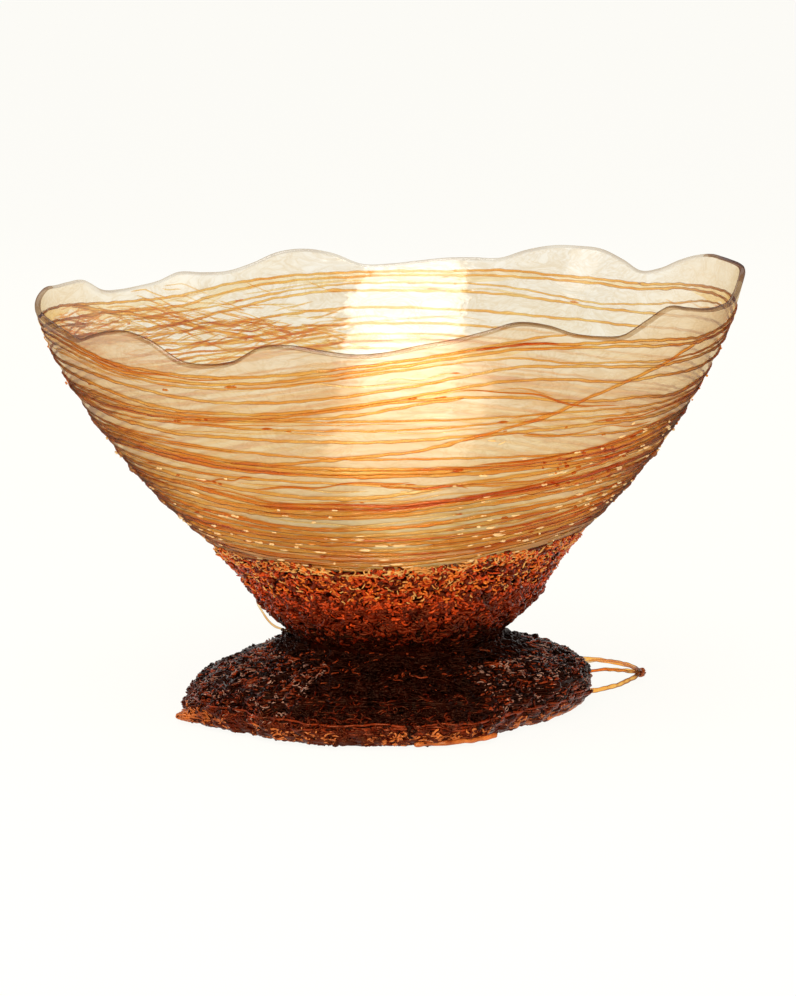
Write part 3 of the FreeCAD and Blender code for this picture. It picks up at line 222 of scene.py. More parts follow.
# Outline of the tangled foot, radius every 22.5 degrees, at rising heights.
FOOT_OUTLINE = [
    (0.0, [95, 104, 106, 100, 96, 97, 101, 101, 104, 108, 98, 99, 95, 95, 83, 87]),
    (8.0, [101, 107, 108, 103, 99, 100, 102, 101, 101, 106, 101, 101, 96, 97, 89, 94]),
    (16.0, [101, 103, 103, 99, 95, 95, 93, 92, 95, 96, 93, 93, 91, 93, 90, 96]),
    (24.0, [97, 93, 89, 85, 81, 80, 78, 72, 80, 80, 77, 77, 77, 79, 83, 93]),
    (30.0, [82, 75, 73, 69, 66, 65, 64, 61, 64, 64, 64, 65, 66, 67, 71, 78]),
    (36.0, [61, 60, 60, 60, 59, 59, 58, 58, 57, 57, 58, 59, 60, 60, 60, 61]),
]
THREADS = {
    "thread_a1": ("gauge_main", [
        165.0, 166.0, 165.4, 163.4, 161.2, 161.5, 162.5, 164.0, 163.5, 164.0, 164.5, 164.2,
        163.0, 160.0, 160.9, 163.0, 166.6, 168.6, 169.6, 170.0, 170.0, 165.8, 160.4, 158.3,
        157.7, 158.9, 162.2, 165.3, 168.7, 170.7, 168.4, 166.0, 163.3, 160.0, 160.8, 163.0]),
    "thread_a2": ("gauge_main", [
        160.0, 162.7, 162.8, 161.4, 158.5, 159.1, 160.1, 161.0, 161.5, 161.9, 162.0, 161.5,
        159.2, 155.0, 156.1, 158.0, 159.9, 162.0, 164.2, 166.0, 167.0, 163.0, 157.2, 154.7,
        154.1, 155.7, 159.5, 162.9, 166.5, 168.2, 166.5, 163.6, 160.3, 157.8, 158.0, 158.8]),
    "thread_a3": ("gauge_thin", [
        156.0, 159.1, 158.1, 153.7, 150.8, 149.3, 152.5, 155.9, 157.4, 158.1, 158.3, 156.2,
        153.5, 151.8, 151.9, 152.8, 156.4, 159.1, 161.0, 163.0, 163.0, 160.0, 155.3, 152.3,
        151.8, 153.2, 157.0, 160.7, 163.8, 164.0, 158.9, 155.8, 152.6, 151.8, 152.4, 153.8]),
    "thread_a4": ("gauge_main", [
        151.0, 150.7, 150.0, 147.7, 147.0, 147.0, 149.6, 151.8, 153.1, 154.1, 155.1, 153.8,
        150.1, 146.7, 146.3, 148.0, 150.8, 152.8, 154.0, 155.0, 154.0, 153.0, 150.0, 146.8,
        144.9, 145.6, 148.1, 151.7, 156.3, 159.5, 157.3, 153.6, 150.2, 149.5, 149.7, 150.4]),
    "thread_a5": ("gauge_main", [
        144.0, 143.7, 143.0, 141.3, 140.0, 140.3, 141.0, 142.4, 144.0, 145.3, 146.0, 144.7,
        143.0, 142.3, 142.0, 143.4, 146.0, 149.0, 150.5, 151.0, 149.0, 146.6, 142.2, 139.3,
        138.8, 139.9, 142.7, 146.7, 150.7, 153.0, 150.6, 145.8, 144.7, 143.0, 143.0, 143.3]),
    "thread_a6": ("gauge_main", [
        135.8, 135.8, 134.6, 133.4, 132.2, 132.2, 133.3, 134.7, 136.4, 137.4, 137.9, 137.4,
        134.6, 134.0, 134.0, 134.6, 137.6, 140.1, 142.0, 143.0, 142.0, 140.5, 138.2, 137.0,
        136.6, 138.0, 141.6, 145.0, 146.5, 144.5, 139.8, 136.5, 134.6, 131.6, 133.4, 135.0]),
    "thread_a8": ("gauge_thin", [
        130.0, 129.7, 129.0, 127.6, 126.5, 127.0, 128.0, 129.5, 131.0, 132.0, 132.5, 130.8,
        129.0, 129.0, 129.0, 130.9, 134.0, 136.5, 137.0, 137.0, 136.8, 135.6, 134.6, 134.0,
        134.5, 135.7, 136.0, 135.8, 135.2, 134.4, 133.7, 131.8, 129.5, 128.8, 129.2, 129.7]),
    "thread_a9": ("gauge_thin", [
        127.0, 126.2, 125.0, 123.8, 123.0, 123.7, 125.0, 126.6, 128.0, 128.7, 129.0, 127.5,
        126.0, 126.3, 127.0, 128.7, 131.0, 133.4, 134.0, 134.0, 132.0, 131.8, 131.8, 131.9,
        131.8, 131.5, 131.1, 131.0, 131.0, 131.5, 130.0, 128.2, 126.4, 126.0, 126.7, 127.0]),
    "thread_b1": ("gauge_main", [
        124.5, 123.4, 121.7, 120.4, 119.2, 119.2, 120.4, 121.7, 123.3, 124.6, 125.8, 125.5,
        123.5, 123.1, 123.6, 124.9, 128.2, 131.9, 135.5, 136.9, 134.5, 129.9, 128.0, 125.8,
        126.2, 125.6, 125.1, 125.0, 125.6, 125.9, 125.3, 124.5, 122.7, 122.2, 124.3, 125.0]),
    "thread_b2": ("gauge_thin", [
        118.0, 117.3, 116.0, 114.2, 113.0, 113.3, 114.0, 115.4, 117.0, 118.3, 119.0, 118.0,
        117.0, 117.3, 118.0, 120.1, 123.0, 126.3, 127.0, 127.0, 125.5, 123.5, 121.5, 120.3,
        119.1, 117.3, 116.4, 115.3, 114.6, 113.1, 111.0, 110.9, 112.9, 115.6, 117.6, 118.0]),
    "thread_b4": ("gauge_thick", [
        113.0, 112.1, 111.0, 109.2, 108.0, 108.3, 109.0, 110.5, 112.0, 112.7, 113.0, 112.0,
        111.0, 111.3, 112.0, 114.3, 117.0, 118.7, 119.0, 119.0, 116.7, 117.2, 115.0, 113.0,
        110.4, 109.5, 108.8, 108.1, 107.8, 108.3, 108.8, 109.2, 109.6, 113.0, 113.9, 113.8]),
    "thread_b5": ("gauge_main", [
        110.0, 109.1, 108.0, 106.8, 106.0, 106.3, 107.0, 108.5, 110.0, 110.7, 111.0, 110.5,
        110.0, 110.6, 112.0, 114.8, 118.0, 120.3, 121.5, 122.0, 121.5, 120.6, 117.9, 115.2,
        112.8, 111.4, 110.6, 109.9, 109.3, 107.4, 106.9, 106.9, 107.3, 109.0, 110.6, 110.8]),
    "thread_b6": ("gauge_main", [
        107.5, 106.4, 105.0, 103.7, 103.0, 103.5, 104.5, 105.8, 107.0, 108.0, 108.5, 107.2,
        106.0, 106.6, 108.0, 110.4, 113.0, 114.7, 114.9, 114.5, 114.0, 114.0, 112.5, 110.2,
        108.3, 107.4, 106.7, 106.1, 105.7, 105.1, 104.9, 104.5, 104.3, 106.6, 107.8, 107.9]),
    "thread_b7": ("gauge_thin", [
        104.0, 103.3, 102.0, 100.2, 99.0, 99.3, 100.0, 101.4, 103.0, 104.3, 105.0, 104.0,
        103.0, 103.3, 104.0, 105.4, 107.0, 108.2, 108.5, 108.5, 107.8, 107.0, 106.0, 104.4,
        104.0, 103.3, 102.3, 100.9, 99.4, 97.8, 96.9, 99.9, 101.8, 103.2, 104.0, 104.0]),
    "thread_b8": ("gauge_main", [
        106.0, 105.2, 104.0, 102.8, 102.0, 102.4, 103.0, 103.6, 104.0, 103.7, 103.0, 101.8,
        101.0, 101.0, 101.0, 101.8, 103.0, 103.8, 103.9, 103.5, 103.2, 102.6, 101.4, 99.7,
        96.8, 94.8, 94.2, 95.4, 99.3, 100.8, 101.8, 103.0, 104.1, 105.2, 106.0, 106.0]),
    "thread_c1": ("gauge_main", [
        98.0, 97.1, 96.0, 94.8, 94.0, 94.3, 95.0, 96.4, 98.0, 99.0, 99.5, 98.4,
        97.0, 96.3, 96.0, 96.8, 98.0, 98.7, 98.8, 98.5, 98.2, 97.6, 96.8, 93.8,
        90.0, 89.4, 89.4, 89.7, 91.0, 92.9, 94.3, 95.8, 97.0, 97.9, 98.4, 98.4]),
    "thread_c2": ("gauge_thick", [
        93.0, 92.1, 91.0, 90.0, 89.5, 90.0, 91.0, 92.6, 94.0, 94.7, 95.0, 93.9,
        92.5, 92.1, 92.0, 92.4, 93.0, 93.8, 94.0, 93.8, 93.3, 92.7, 91.8, 89.0,
        86.7, 85.9, 85.8, 86.6, 88.9, 90.8, 91.9, 92.8, 93.5, 93.9, 93.9, 93.6]),
    "thread_c3": ("gauge_main", [
        89.0, 88.0, 87.0, 86.3, 86.0, 86.6, 87.5, 88.3, 89.0, 89.7, 90.0, 89.0,
        88.0, 88.0, 88.0, 88.4, 89.0, 89.8, 90.0, 90.0, 89.3, 88.3, 86.9, 85.3,
        83.8, 82.9, 83.0, 84.1, 85.7, 87.0, 88.1, 89.0, 89.5, 89.9, 89.9, 89.6]),
    "thread_c4": ("gauge_main", [
        84.5, 83.5, 82.2, 82.0, 82.0, 82.2, 83.4, 84.6, 85.8, 85.9, 85.3, 84.5,
        83.2, 83.0, 83.0, 83.3, 84.5, 85.3, 85.8, 86.0, 85.3, 84.2, 82.7, 80.4,
        77.4, 76.3, 76.0, 77.0, 78.7, 80.4, 82.0, 83.1, 84.0, 84.6, 85.3, 85.3]),
    "thread_c5": ("gauge_main", [
        80.3, 79.5, 78.3, 78.0, 78.0, 78.2, 79.4, 80.6, 81.8, 81.9, 81.3, 80.5,
        79.2, 79.0, 79.0, 79.3, 80.5, 81.3, 81.8, 82.0, 81.5, 80.4, 78.8, 76.6,
        74.6, 73.1, 72.8, 73.0, 74.2, 75.6, 77.2, 78.6, 79.7, 80.5, 81.0, 80.8]),
    "thread_c6": ("gauge_thick", [
        76.5, 75.4, 74.2, 74.0, 74.0, 74.2, 75.4, 76.6, 77.8, 77.9, 77.3, 76.5,
        75.2, 75.0, 75.3, 75.8, 76.7, 77.2, 77.6, 77.8, 77.2, 76.0, 74.7, 73.2,
        71.6, 70.5, 70.0, 69.8, 70.2, 70.6, 71.5, 73.4, 75.4, 77.2, 78.0, 77.5]),
    "thread_c7": ("gauge_main", [
        74.0, 73.0, 71.8, 71.0, 71.0, 71.0, 71.8, 73.0, 73.7, 74.0, 73.7, 73.0,
        71.8, 71.0, 71.3, 72.0, 72.9, 73.6, 73.9, 74.0, 73.3, 72.0, 70.7, 69.4,
        68.4, 67.5, 67.0, 66.8, 67.1, 67.7, 68.6, 70.1, 72.0, 73.6, 74.2, 74.5]),
    "thread_c8": ("gauge_main", [
        70.7, 69.5, 68.5, 67.7, 67.5, 67.8, 68.4, 69.5, 70.3, 70.9, 70.8, 69.5,
        68.7, 68.1, 68.1, 68.7, 69.2, 69.8, 70.2, 70.4, 69.8, 68.6, 67.4, 66.2,
        65.2, 64.3, 63.7, 63.4, 64.0, 65.0, 66.5, 68.1, 69.8, 71.1, 71.4, 71.2]),
    "thread_d1": ("gauge_main", [
        67.6, 66.5, 65.5, 64.7, 64.5, 64.8, 65.4, 66.5, 67.3, 67.9, 67.8, 66.5,
        65.7, 65.1, 65.1, 65.3, 65.7, 66.2, 66.6, 66.8, 66.2, 65.2, 64.3, 63.4,
        62.5, 61.5, 60.8, 60.8, 61.1, 62.6, 64.1, 65.6, 67.0, 68.3, 68.5, 68.2]),
    "thread_d2": ("gauge_thick", [
        64.7, 63.6, 62.4, 61.2, 61.1, 61.7, 62.4, 63.6, 64.3, 64.9, 64.8, 63.6,
        62.5, 61.7, 61.6, 61.8, 62.2, 62.5, 62.9, 63.0, 62.5, 61.5, 60.0, 59.0,
        58.6, 58.2, 57.7, 57.4, 57.7, 59.1, 61.0, 62.8, 64.3, 65.2, 65.2, 65.1]),
    "thread_d3": ("gauge_main", [
        61.2, 60.0, 58.8, 58.0, 58.1, 58.5, 59.4, 60.5, 61.5, 62.0, 61.2, 60.0,
        59.0, 58.5, 58.5, 58.5, 58.7, 59.2, 59.8, 60.0, 59.2, 58.0, 56.9, 56.0,
        55.3, 54.5, 54.0, 54.0, 55.0, 56.5, 58.3, 60.0, 61.6, 62.0, 62.0, 62.0]),
    "thread_d4": ("gauge_thick", [
        58.2, 57.1, 55.9, 54.7, 54.5, 54.8, 55.3, 56.5, 57.5, 58.3, 58.3, 57.4,
        56.6, 55.8, 55.3, 55.0, 55.1, 55.6, 56.2, 56.5, 55.9, 55.0, 54.1, 53.3,
        52.6, 51.7, 51.0, 50.8, 51.1, 52.4, 54.1, 56.0, 57.8, 58.8, 59.0, 58.7]),
}
SHORT_THREADS = {
    "thread_a7": ("gauge_main", [
        (-168.0, 140.0), (-159.8, 139.1), (-151.6, 137.8), (-143.5, 136.4), (-135.3, 135.4), (-127.1, 135.2),
        (-118.9, 135.8), (-110.7, 136.8), (-102.5, 137.7), (-94.4, 139.6), (-86.2, 143.8), (-78.0, 146.0)]),
    "thread_a0": ("gauge_thin", [
        (-84.0, 167.8), (-76.5, 170.6), (-69.0, 172.8), (-61.5, 173.3)]),
    "thread_slant": ("gauge_main", [
        (-122.0, 112.0), (-114.3, 112.5), (-106.7, 114.0), (-99.0, 116.3), (-91.3, 118.1), (-83.7, 120.1),
        (-76.0, 124.7), (-68.3, 129.2), (-60.7, 134.0), (-53.0, 141.0), (-45.3, 146.4), (-37.7, 151.4),
        (-30.0, 157.5)]),
    "thread_b3": ("gauge_thin", [
        (-66.0, 123.8), (-58.0, 121.1), (-49.9, 118.9), (-41.9, 117.2), (-33.9, 117.0), (-25.8, 117.0),
        (-17.8, 117.0), (-9.8, 116.9), (-1.7, 116.5), (6.3, 115.8), (14.3, 114.9), (22.4, 113.3),
        (30.4, 111.5), (38.4, 110.5), (46.5, 110.7), (54.5, 111.4), (62.5, 112.2), (70.6, 113.1),
        (78.6, 114.0), (86.6, 115.0), (94.7, 115.8), (102.7, 116.0), (110.7, 115.7), (118.8, 115.3),
        (126.8, 115.0), (134.8, 115.3), (142.9, 117.0), (150.9, 119.1), (158.9, 120.8), (167.0, 122.4),
        (175.0, 124.0)]),
    "feather_one": ("gauge_thin", [
        (94.8, 124.1), (103.5, 134.2), (112.3, 139.4), (121.0, 144.3)]),
    "feather_two": ("gauge_thick", [
        (115.3, 132.7), (122.8, 138.3), (130.2, 144.8), (137.7, 151.2), (145.1, 156.1), (152.6, 161.0),
        (160.0, 166.0)]),
    "feather_three": ("gauge_main", [
        (97.8, 139.0), (106.2, 135.7), (114.6, 132.7), (123.0, 133.5), (131.4, 135.4), (139.8, 138.9),
        (148.2, 143.0), (156.6, 147.4), (165.0, 152.0)]),
}
FOOT_THREADS = {
    "foot_loop_a": ("loop_thread", [(97, 22, 17), (106, 26, 18), (117, 36, 15.5), (126, 47, 10), (132, 58, 5.5)]),
    "foot_loop_b": ("loop_thread", [(96, 12, 13), (105, 22, 13.5), (115, 33, 11.5), (124, 45, 8), (132, 59, 4.5)]),
    "foot_loop_c": ("loop_thread_heavy", [(92, 14, 5), (101, 19, 3.4), (112, 27, 3.2), (122, 40, 3.4), (130, 56, 4.4), (128, 70, 5), (117, 78, 6), (101, 77, 8), (86, 70, 9)]),
    "foot_loop_d": ("loop_thread", [(90, 34, 9), (101, 38, 9.5), (112, 46, 9), (121, 54, 7), (130, 61, 4.5)]),
    "neck_loop": ("loop_thread", [(-66, -12, 64), (-67.5, -13, 59), (-66, -14, 54), (-63, -14, 49), (-58.5, -13, 44.5), (-51, -12, 41)]),
    "front_ribbon": ("loop_thread_heavy", [(-22, -94, 3.0), (-6, -96, 2.6), (12, -96, 2.5), (30, -92.5, 2.6), (44, -86, 2.8), (53, -80.5, 3.4)]),
    "cut_thread_end": ("loop_thread_heavy", [(62, -58, 4.5), (74, -46, 3.4), (84, -32, 2.8), (92, -17, 2.8), (98, -3, 3.6)]),
}
FOOT_OUTLINE = [
    (0.0, [95, 104, 106, 100, 96, 97, 101, 101, 104, 108, 98, 99, 95, 95, 83, 87]),
    (8.0, [101, 107, 108, 103, 99, 100, 102, 101, 101, 106, 101, 101, 96, 97, 89, 94]),
    (16.0, [101, 103, 103, 99, 95, 95, 93, 92, 95, 96, 93, 93, 91, 93, 90, 96]),
    (24.0, [97, 93, 89, 85, 81, 80, 78, 72, 80, 80, 77, 77, 77, 79, 83, 93]),
    (30.0, [82, 75, 73, 69, 66, 65, 64, 61, 64, 64, 64, 65, 66, 67, 71, 78]),
    (36.0, [61, 60, 60, 60, 59, 59, 58, 58, 57, 57, 58, 59, 60, 60, 60, 61]),
]
NEST_HEIGHT = [0.0, 12.0, 26.0, 40.0, 54.0]
NEST_OUTLINE = [54.0, 63.4, 73.2, 82.8, 95.2]


# ------------------------------------------------------------------ frames and curves
def to_world(points):
    """Bowl frame, mm, to the row frame, mm."""
    p = np.asarray(points, float)
    c, s = math.cos(LEAN), math.sin(LEAN)
    out = np.empty_like(p)
    out[..., 0] = p[..., 0] * c + p[..., 2] * s + SHIFT
    out[..., 1] = p[..., 1]
    out[..., 2] = -p[..., 0] * s + p[..., 2] * c + NECK
    return out


def to_bowl(points):
    p = np.asarray(points, float)
    c, s = math.cos(LEAN), math.sin(LEAN)
    x, z = p[..., 0] - SHIFT, p[..., 2] - NECK
    out = np.empty_like(p)
    out[..., 0] = x * c - z * s
    out[..., 1] = p[..., 1]
    out[..., 2] = x * s + z * c
    return out


def node_points(name):
    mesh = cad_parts[name].data
    co = np.empty(len(mesh.vertices) * 3, np.float32)
    mesh.vertices.foreach_get("co", co)
    return co.reshape(-1, 3).astype(float) * 1000.0


# The skin's outer outline r(z), read from the CAD skin itself.
_skin = to_bowl(node_points("bowl_skin"))
_r = np.hypot(_skin[:, 0], _skin[:, 1])
_levels, _radii = [0.0], [46.0]
for _low in np.arange(1.0, 184.0, 2.0):
    _in = (_skin[:, 2] >= _low) & (_skin[:, 2] < _low + 2.0)
    if _in.sum() > 6:
        _k = np.argmax(np.where(_in, _r - 0.9 * (_skin[:, 2] - _low), -1))
        _levels.append(_skin[_k, 2])
        _radii.append(_r[_k])
_fit = np.polynomial.chebyshev.Chebyshev.fit(_levels, _radii, 11)


def skin_radius(z):
    return _fit(np.clip(z, 0.0, 183.0))


def skin_slope(z):
    return (skin_radius(np.asarray(z) + 1.0) - skin_radius(np.asarray(z) - 1.0)) / 2.0


def periodic(table, degrees):
    """Smooth closed curve through evenly spaced values (Catmull-Rom)."""
    v = np.asarray(table, float)
    n = len(v)
    t = (np.asarray(degrees, float) % 360.0) * n / 360.0
    i = np.floor(t).astype(int)
    f = t - i
    a, b, c, d = v[(i - 1) % n], v[i % n], v[(i + 1) % n], v[(i + 2) % n]
    return b + 0.5 * f * (c - a + f * (2 * a - 5 * b + 4 * c - d + f * (3 * (b - c) + d - a)))


def open_curve(points, count):
    """Smooth open curve through points, evenly sampled (Catmull-Rom)."""
    p = np.asarray(points, float)
    p = np.vstack([2 * p[0] - p[1], p, 2 * p[-1] - p[-2]])
    t = np.linspace(0, len(p) - 3 - 1e-9, count)
    i = np.floor(t).astype(int)
    f = (t - i)[:, None]
    a, b, c, d = p[i], p[i + 1], p[i + 2], p[i + 3]
    return b + 0.5 * f * (c - a + f * (2 * a - 5 * b + 4 * c - d + f * (3 * (b - c) + d - a)))


def ripple(t, rng, waves, size):
    """Seeded smooth noise along t (degrees or mm), from a few sines."""
    out = np.zeros_like(np.asarray(t, float))
    for wave in waves:
        out += np.sin(2 * np.pi * (t / wave) + rng.uniform(0, 2 * np.pi)) * rng.uniform(0.5, 1.0)
    return out * size / max(1.0, math.sqrt(len(waves)))


# ------------------------------------------------------------------ mesh builders
def mesh_object(name, verts_mm, faces, material, body="root", smooth=True, tones=None, face_material=None):
    """faces: list of integer arrays, each (count, corners)."""
    mesh = bpy.data.meshes.new(name)
    verts = np.asarray(verts_mm, np.float32) * MM
    mesh.vertices.add(len(verts))
    mesh.vertices.foreach_set("co", verts.ravel())
    loops = np.concatenate([f.ravel() for f in faces]).astype(np.int32)
    totals = np.concatenate([np.full(len(f), f.shape[1], np.int32) for f in faces])
    starts = np.concatenate([[0], np.cumsum(totals)[:-1]]).astype(np.int32)
    mesh.loops.add(len(loops))
    mesh.loops.foreach_set("vertex_index", loops)
    mesh.polygons.add(len(totals))
    mesh.polygons.foreach_set("loop_start", starts)
    mesh.polygons.foreach_set("loop_total", totals)
    mesh.polygons.foreach_set("use_smooth", np.full(len(totals), smooth))
    if face_material is not None:
        mesh.polygons.foreach_set("material_index", np.asarray(face_material, np.int32))
    mesh.update(calc_edges=True)
    mesh.validate()
    if tones is not None:
        layer = mesh.attributes.new("tone", "FLOAT", "POINT")
        layer.data.foreach_set("value", np.asarray(tones, np.float32))
    for m in (material if isinstance(material, (list, tuple)) else [material]):
        mesh.materials.append(m)
    obj = bpy.data.objects.new(name, mesh)
    scene.collection.objects.link(obj)
    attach(obj, body)
    return obj


def tubes(paths, across, out, sides=6):
    """Many tubes of the same ring count. paths (k, n, 3) mm; across and out (k, n): half
    sizes along the surface and out of it; returns vertices, faces, tube number per vertex.
    The section's frame comes from the path's tangent and the bowl's outward direction."""
    paths = np.asarray(paths, float)
    k, n, _ = paths.shape
    tangent = np.gradient(paths, axis=1)
    tangent /= np.linalg.norm(tangent, axis=2, keepdims=True) + 1e-9
    outward = paths.copy()
    outward[..., 2] = 0.0
    outward /= np.linalg.norm(outward, axis=2, keepdims=True) + 1e-9
    outward[..., 2] = -0.5
    side = np.cross(tangent, outward)
    side /= np.linalg.norm(side, axis=2, keepdims=True) + 1e-9
    normal = np.cross(side, tangent)
    phi = np.arange(sides) * 2 * np.pi / sides
    ring = (paths[:, :, None, :]
            + side[:, :, None, :] * (np.cos(phi)[None, None, :, None] * np.asarray(across)[:, :, None, None])
            + normal[:, :, None, :] * (np.sin(phi)[None, None, :, None] * np.asarray(out)[:, :, None, None]))
    verts = ring.reshape(-1, 3)
    base = (np.arange(k)[:, None, None] * n + np.arange(n - 1)[None, :, None]) * sides
    j = np.arange(sides)[None, None, :]
    j2 = (j + 1) % sides
    quads = np.stack([base + j, base + j2, base + sides + j2, base + sides + j], -1).reshape(-1, 4)
    first = np.arange(k)[:, None] * n * sides + np.arange(sides)[None, ::-1]
    last = np.arange(k)[:, None] * n * sides + (n - 1) * sides + np.arange(sides)[None, :]
    return verts, [quads, first, last], np.repeat(np.arange(k), n * sides)


# ------------------------------------------------------------------ materials
def new_material(name):
    m = bpy.data.materials.new(name)
    m.use_nodes = True
    m.node_tree.nodes.clear()
    return m, m.node_tree.nodes, m.node_tree.links


def ramp(nodes, stops):
    r = nodes.new("ShaderNodeValToRGB")
    r.color_ramp.interpolation = "EASE"
    while len(r.color_ramp.elements) < len(stops):
        r.color_ramp.elements.new(0.5)
    for e, (pos, col) in zip(r.color_ramp.elements, stops):
        e.position = pos
        e.color = (*col, 1.0)
    return r


def tint_nodes(nodes, links, stops_low, stops_high=None, noise_scale=60.0, stretch=(1, 1, 1), detail=4.0, tone=None,
               height=None):
    """A colour that drifts with a noise (or with each thread's own tone)."""
    coord = nodes.new("ShaderNodeTexCoord")
    mapping = nodes.new("ShaderNodeMapping")
    mapping.inputs["Scale"].default_value = stretch
    links.new(coord.outputs["Object"], mapping.inputs["Vector"])
    noise = nodes.new("ShaderNodeTexNoise")
    noise.inputs["Scale"].default_value = noise_scale
    noise.inputs["Detail"].default_value = detail
    links.new(mapping.outputs["Vector"], noise.inputs["Vector"])
    colours = ramp(nodes, stops_low)
    if tone is None:
        links.new(noise.outputs["Fac"], colours.inputs["Fac"])
    else:
        own = nodes.new("ShaderNodeAttribute")
        own.attribute_name = "tone"
        add = nodes.new("ShaderNodeMath")
        add.operation = "MULTIPLY_ADD"
        links.new(noise.outputs["Fac"], add.inputs[0])
        add.inputs[1].default_value = tone
        links.new(own.outputs["Fac"], add.inputs[2])
        links.new(add.outputs["Value"], colours.inputs["Fac"])
    return colours.outputs["Color"], mapping.outputs["Vector"]


def blend_colour(nodes, links, factor, a, b, kind="MIX"):
    mix = nodes.new("ShaderNodeMix")
    mix.data_type = "RGBA"
    mix.blend_type = kind
    if isinstance(factor, float):
        mix.inputs["Factor"].default_value = factor
    else:
        links.new(factor, mix.inputs["Factor"])
    for socket, value in (("A", a), ("B", b)):
        if isinstance(value, tuple):
            mix.inputs[socket].default_value = (*value, 1.0)
        else:
            links.new(value, mix.inputs[socket])
    return mix.outputs["Result"]


def bump_normal(nodes, links, vector, scale, strength, detail=2.0):
    fine = nodes.new("ShaderNodeTexNoise")
    fine.inputs["Scale"].default_value = scale
    fine.inputs["Detail"].default_value = detail
    links.new(vector, fine.inputs["Vector"])
    b = nodes.new("ShaderNodeBump")
    b.inputs["Strength"].default_value = strength
    b.inputs["Distance"].default_value = 0.001
    links.new(fine.outputs["Fac"], b.inputs["Height"])
    return b.outputs["Normal"]


def facing(nodes, links, power_stops, normal=None):
    """A share that grows from face-on to grazing, the same on both sides of the glass."""
    weight = nodes.new("ShaderNodeLayerWeight")
    if normal is not None:
        links.new(normal, weight.inputs["Normal"])
    weight.inputs["Blend"].default_value = 0.5
    curve = ramp(nodes, [(p, (v, v, v)) for p, v in power_stops])
    curve.color_ramp.interpolation = "LINEAR"
    links.new(weight.outputs["Facing"], curve.inputs["Fac"])
    return curve.outputs["Color"]


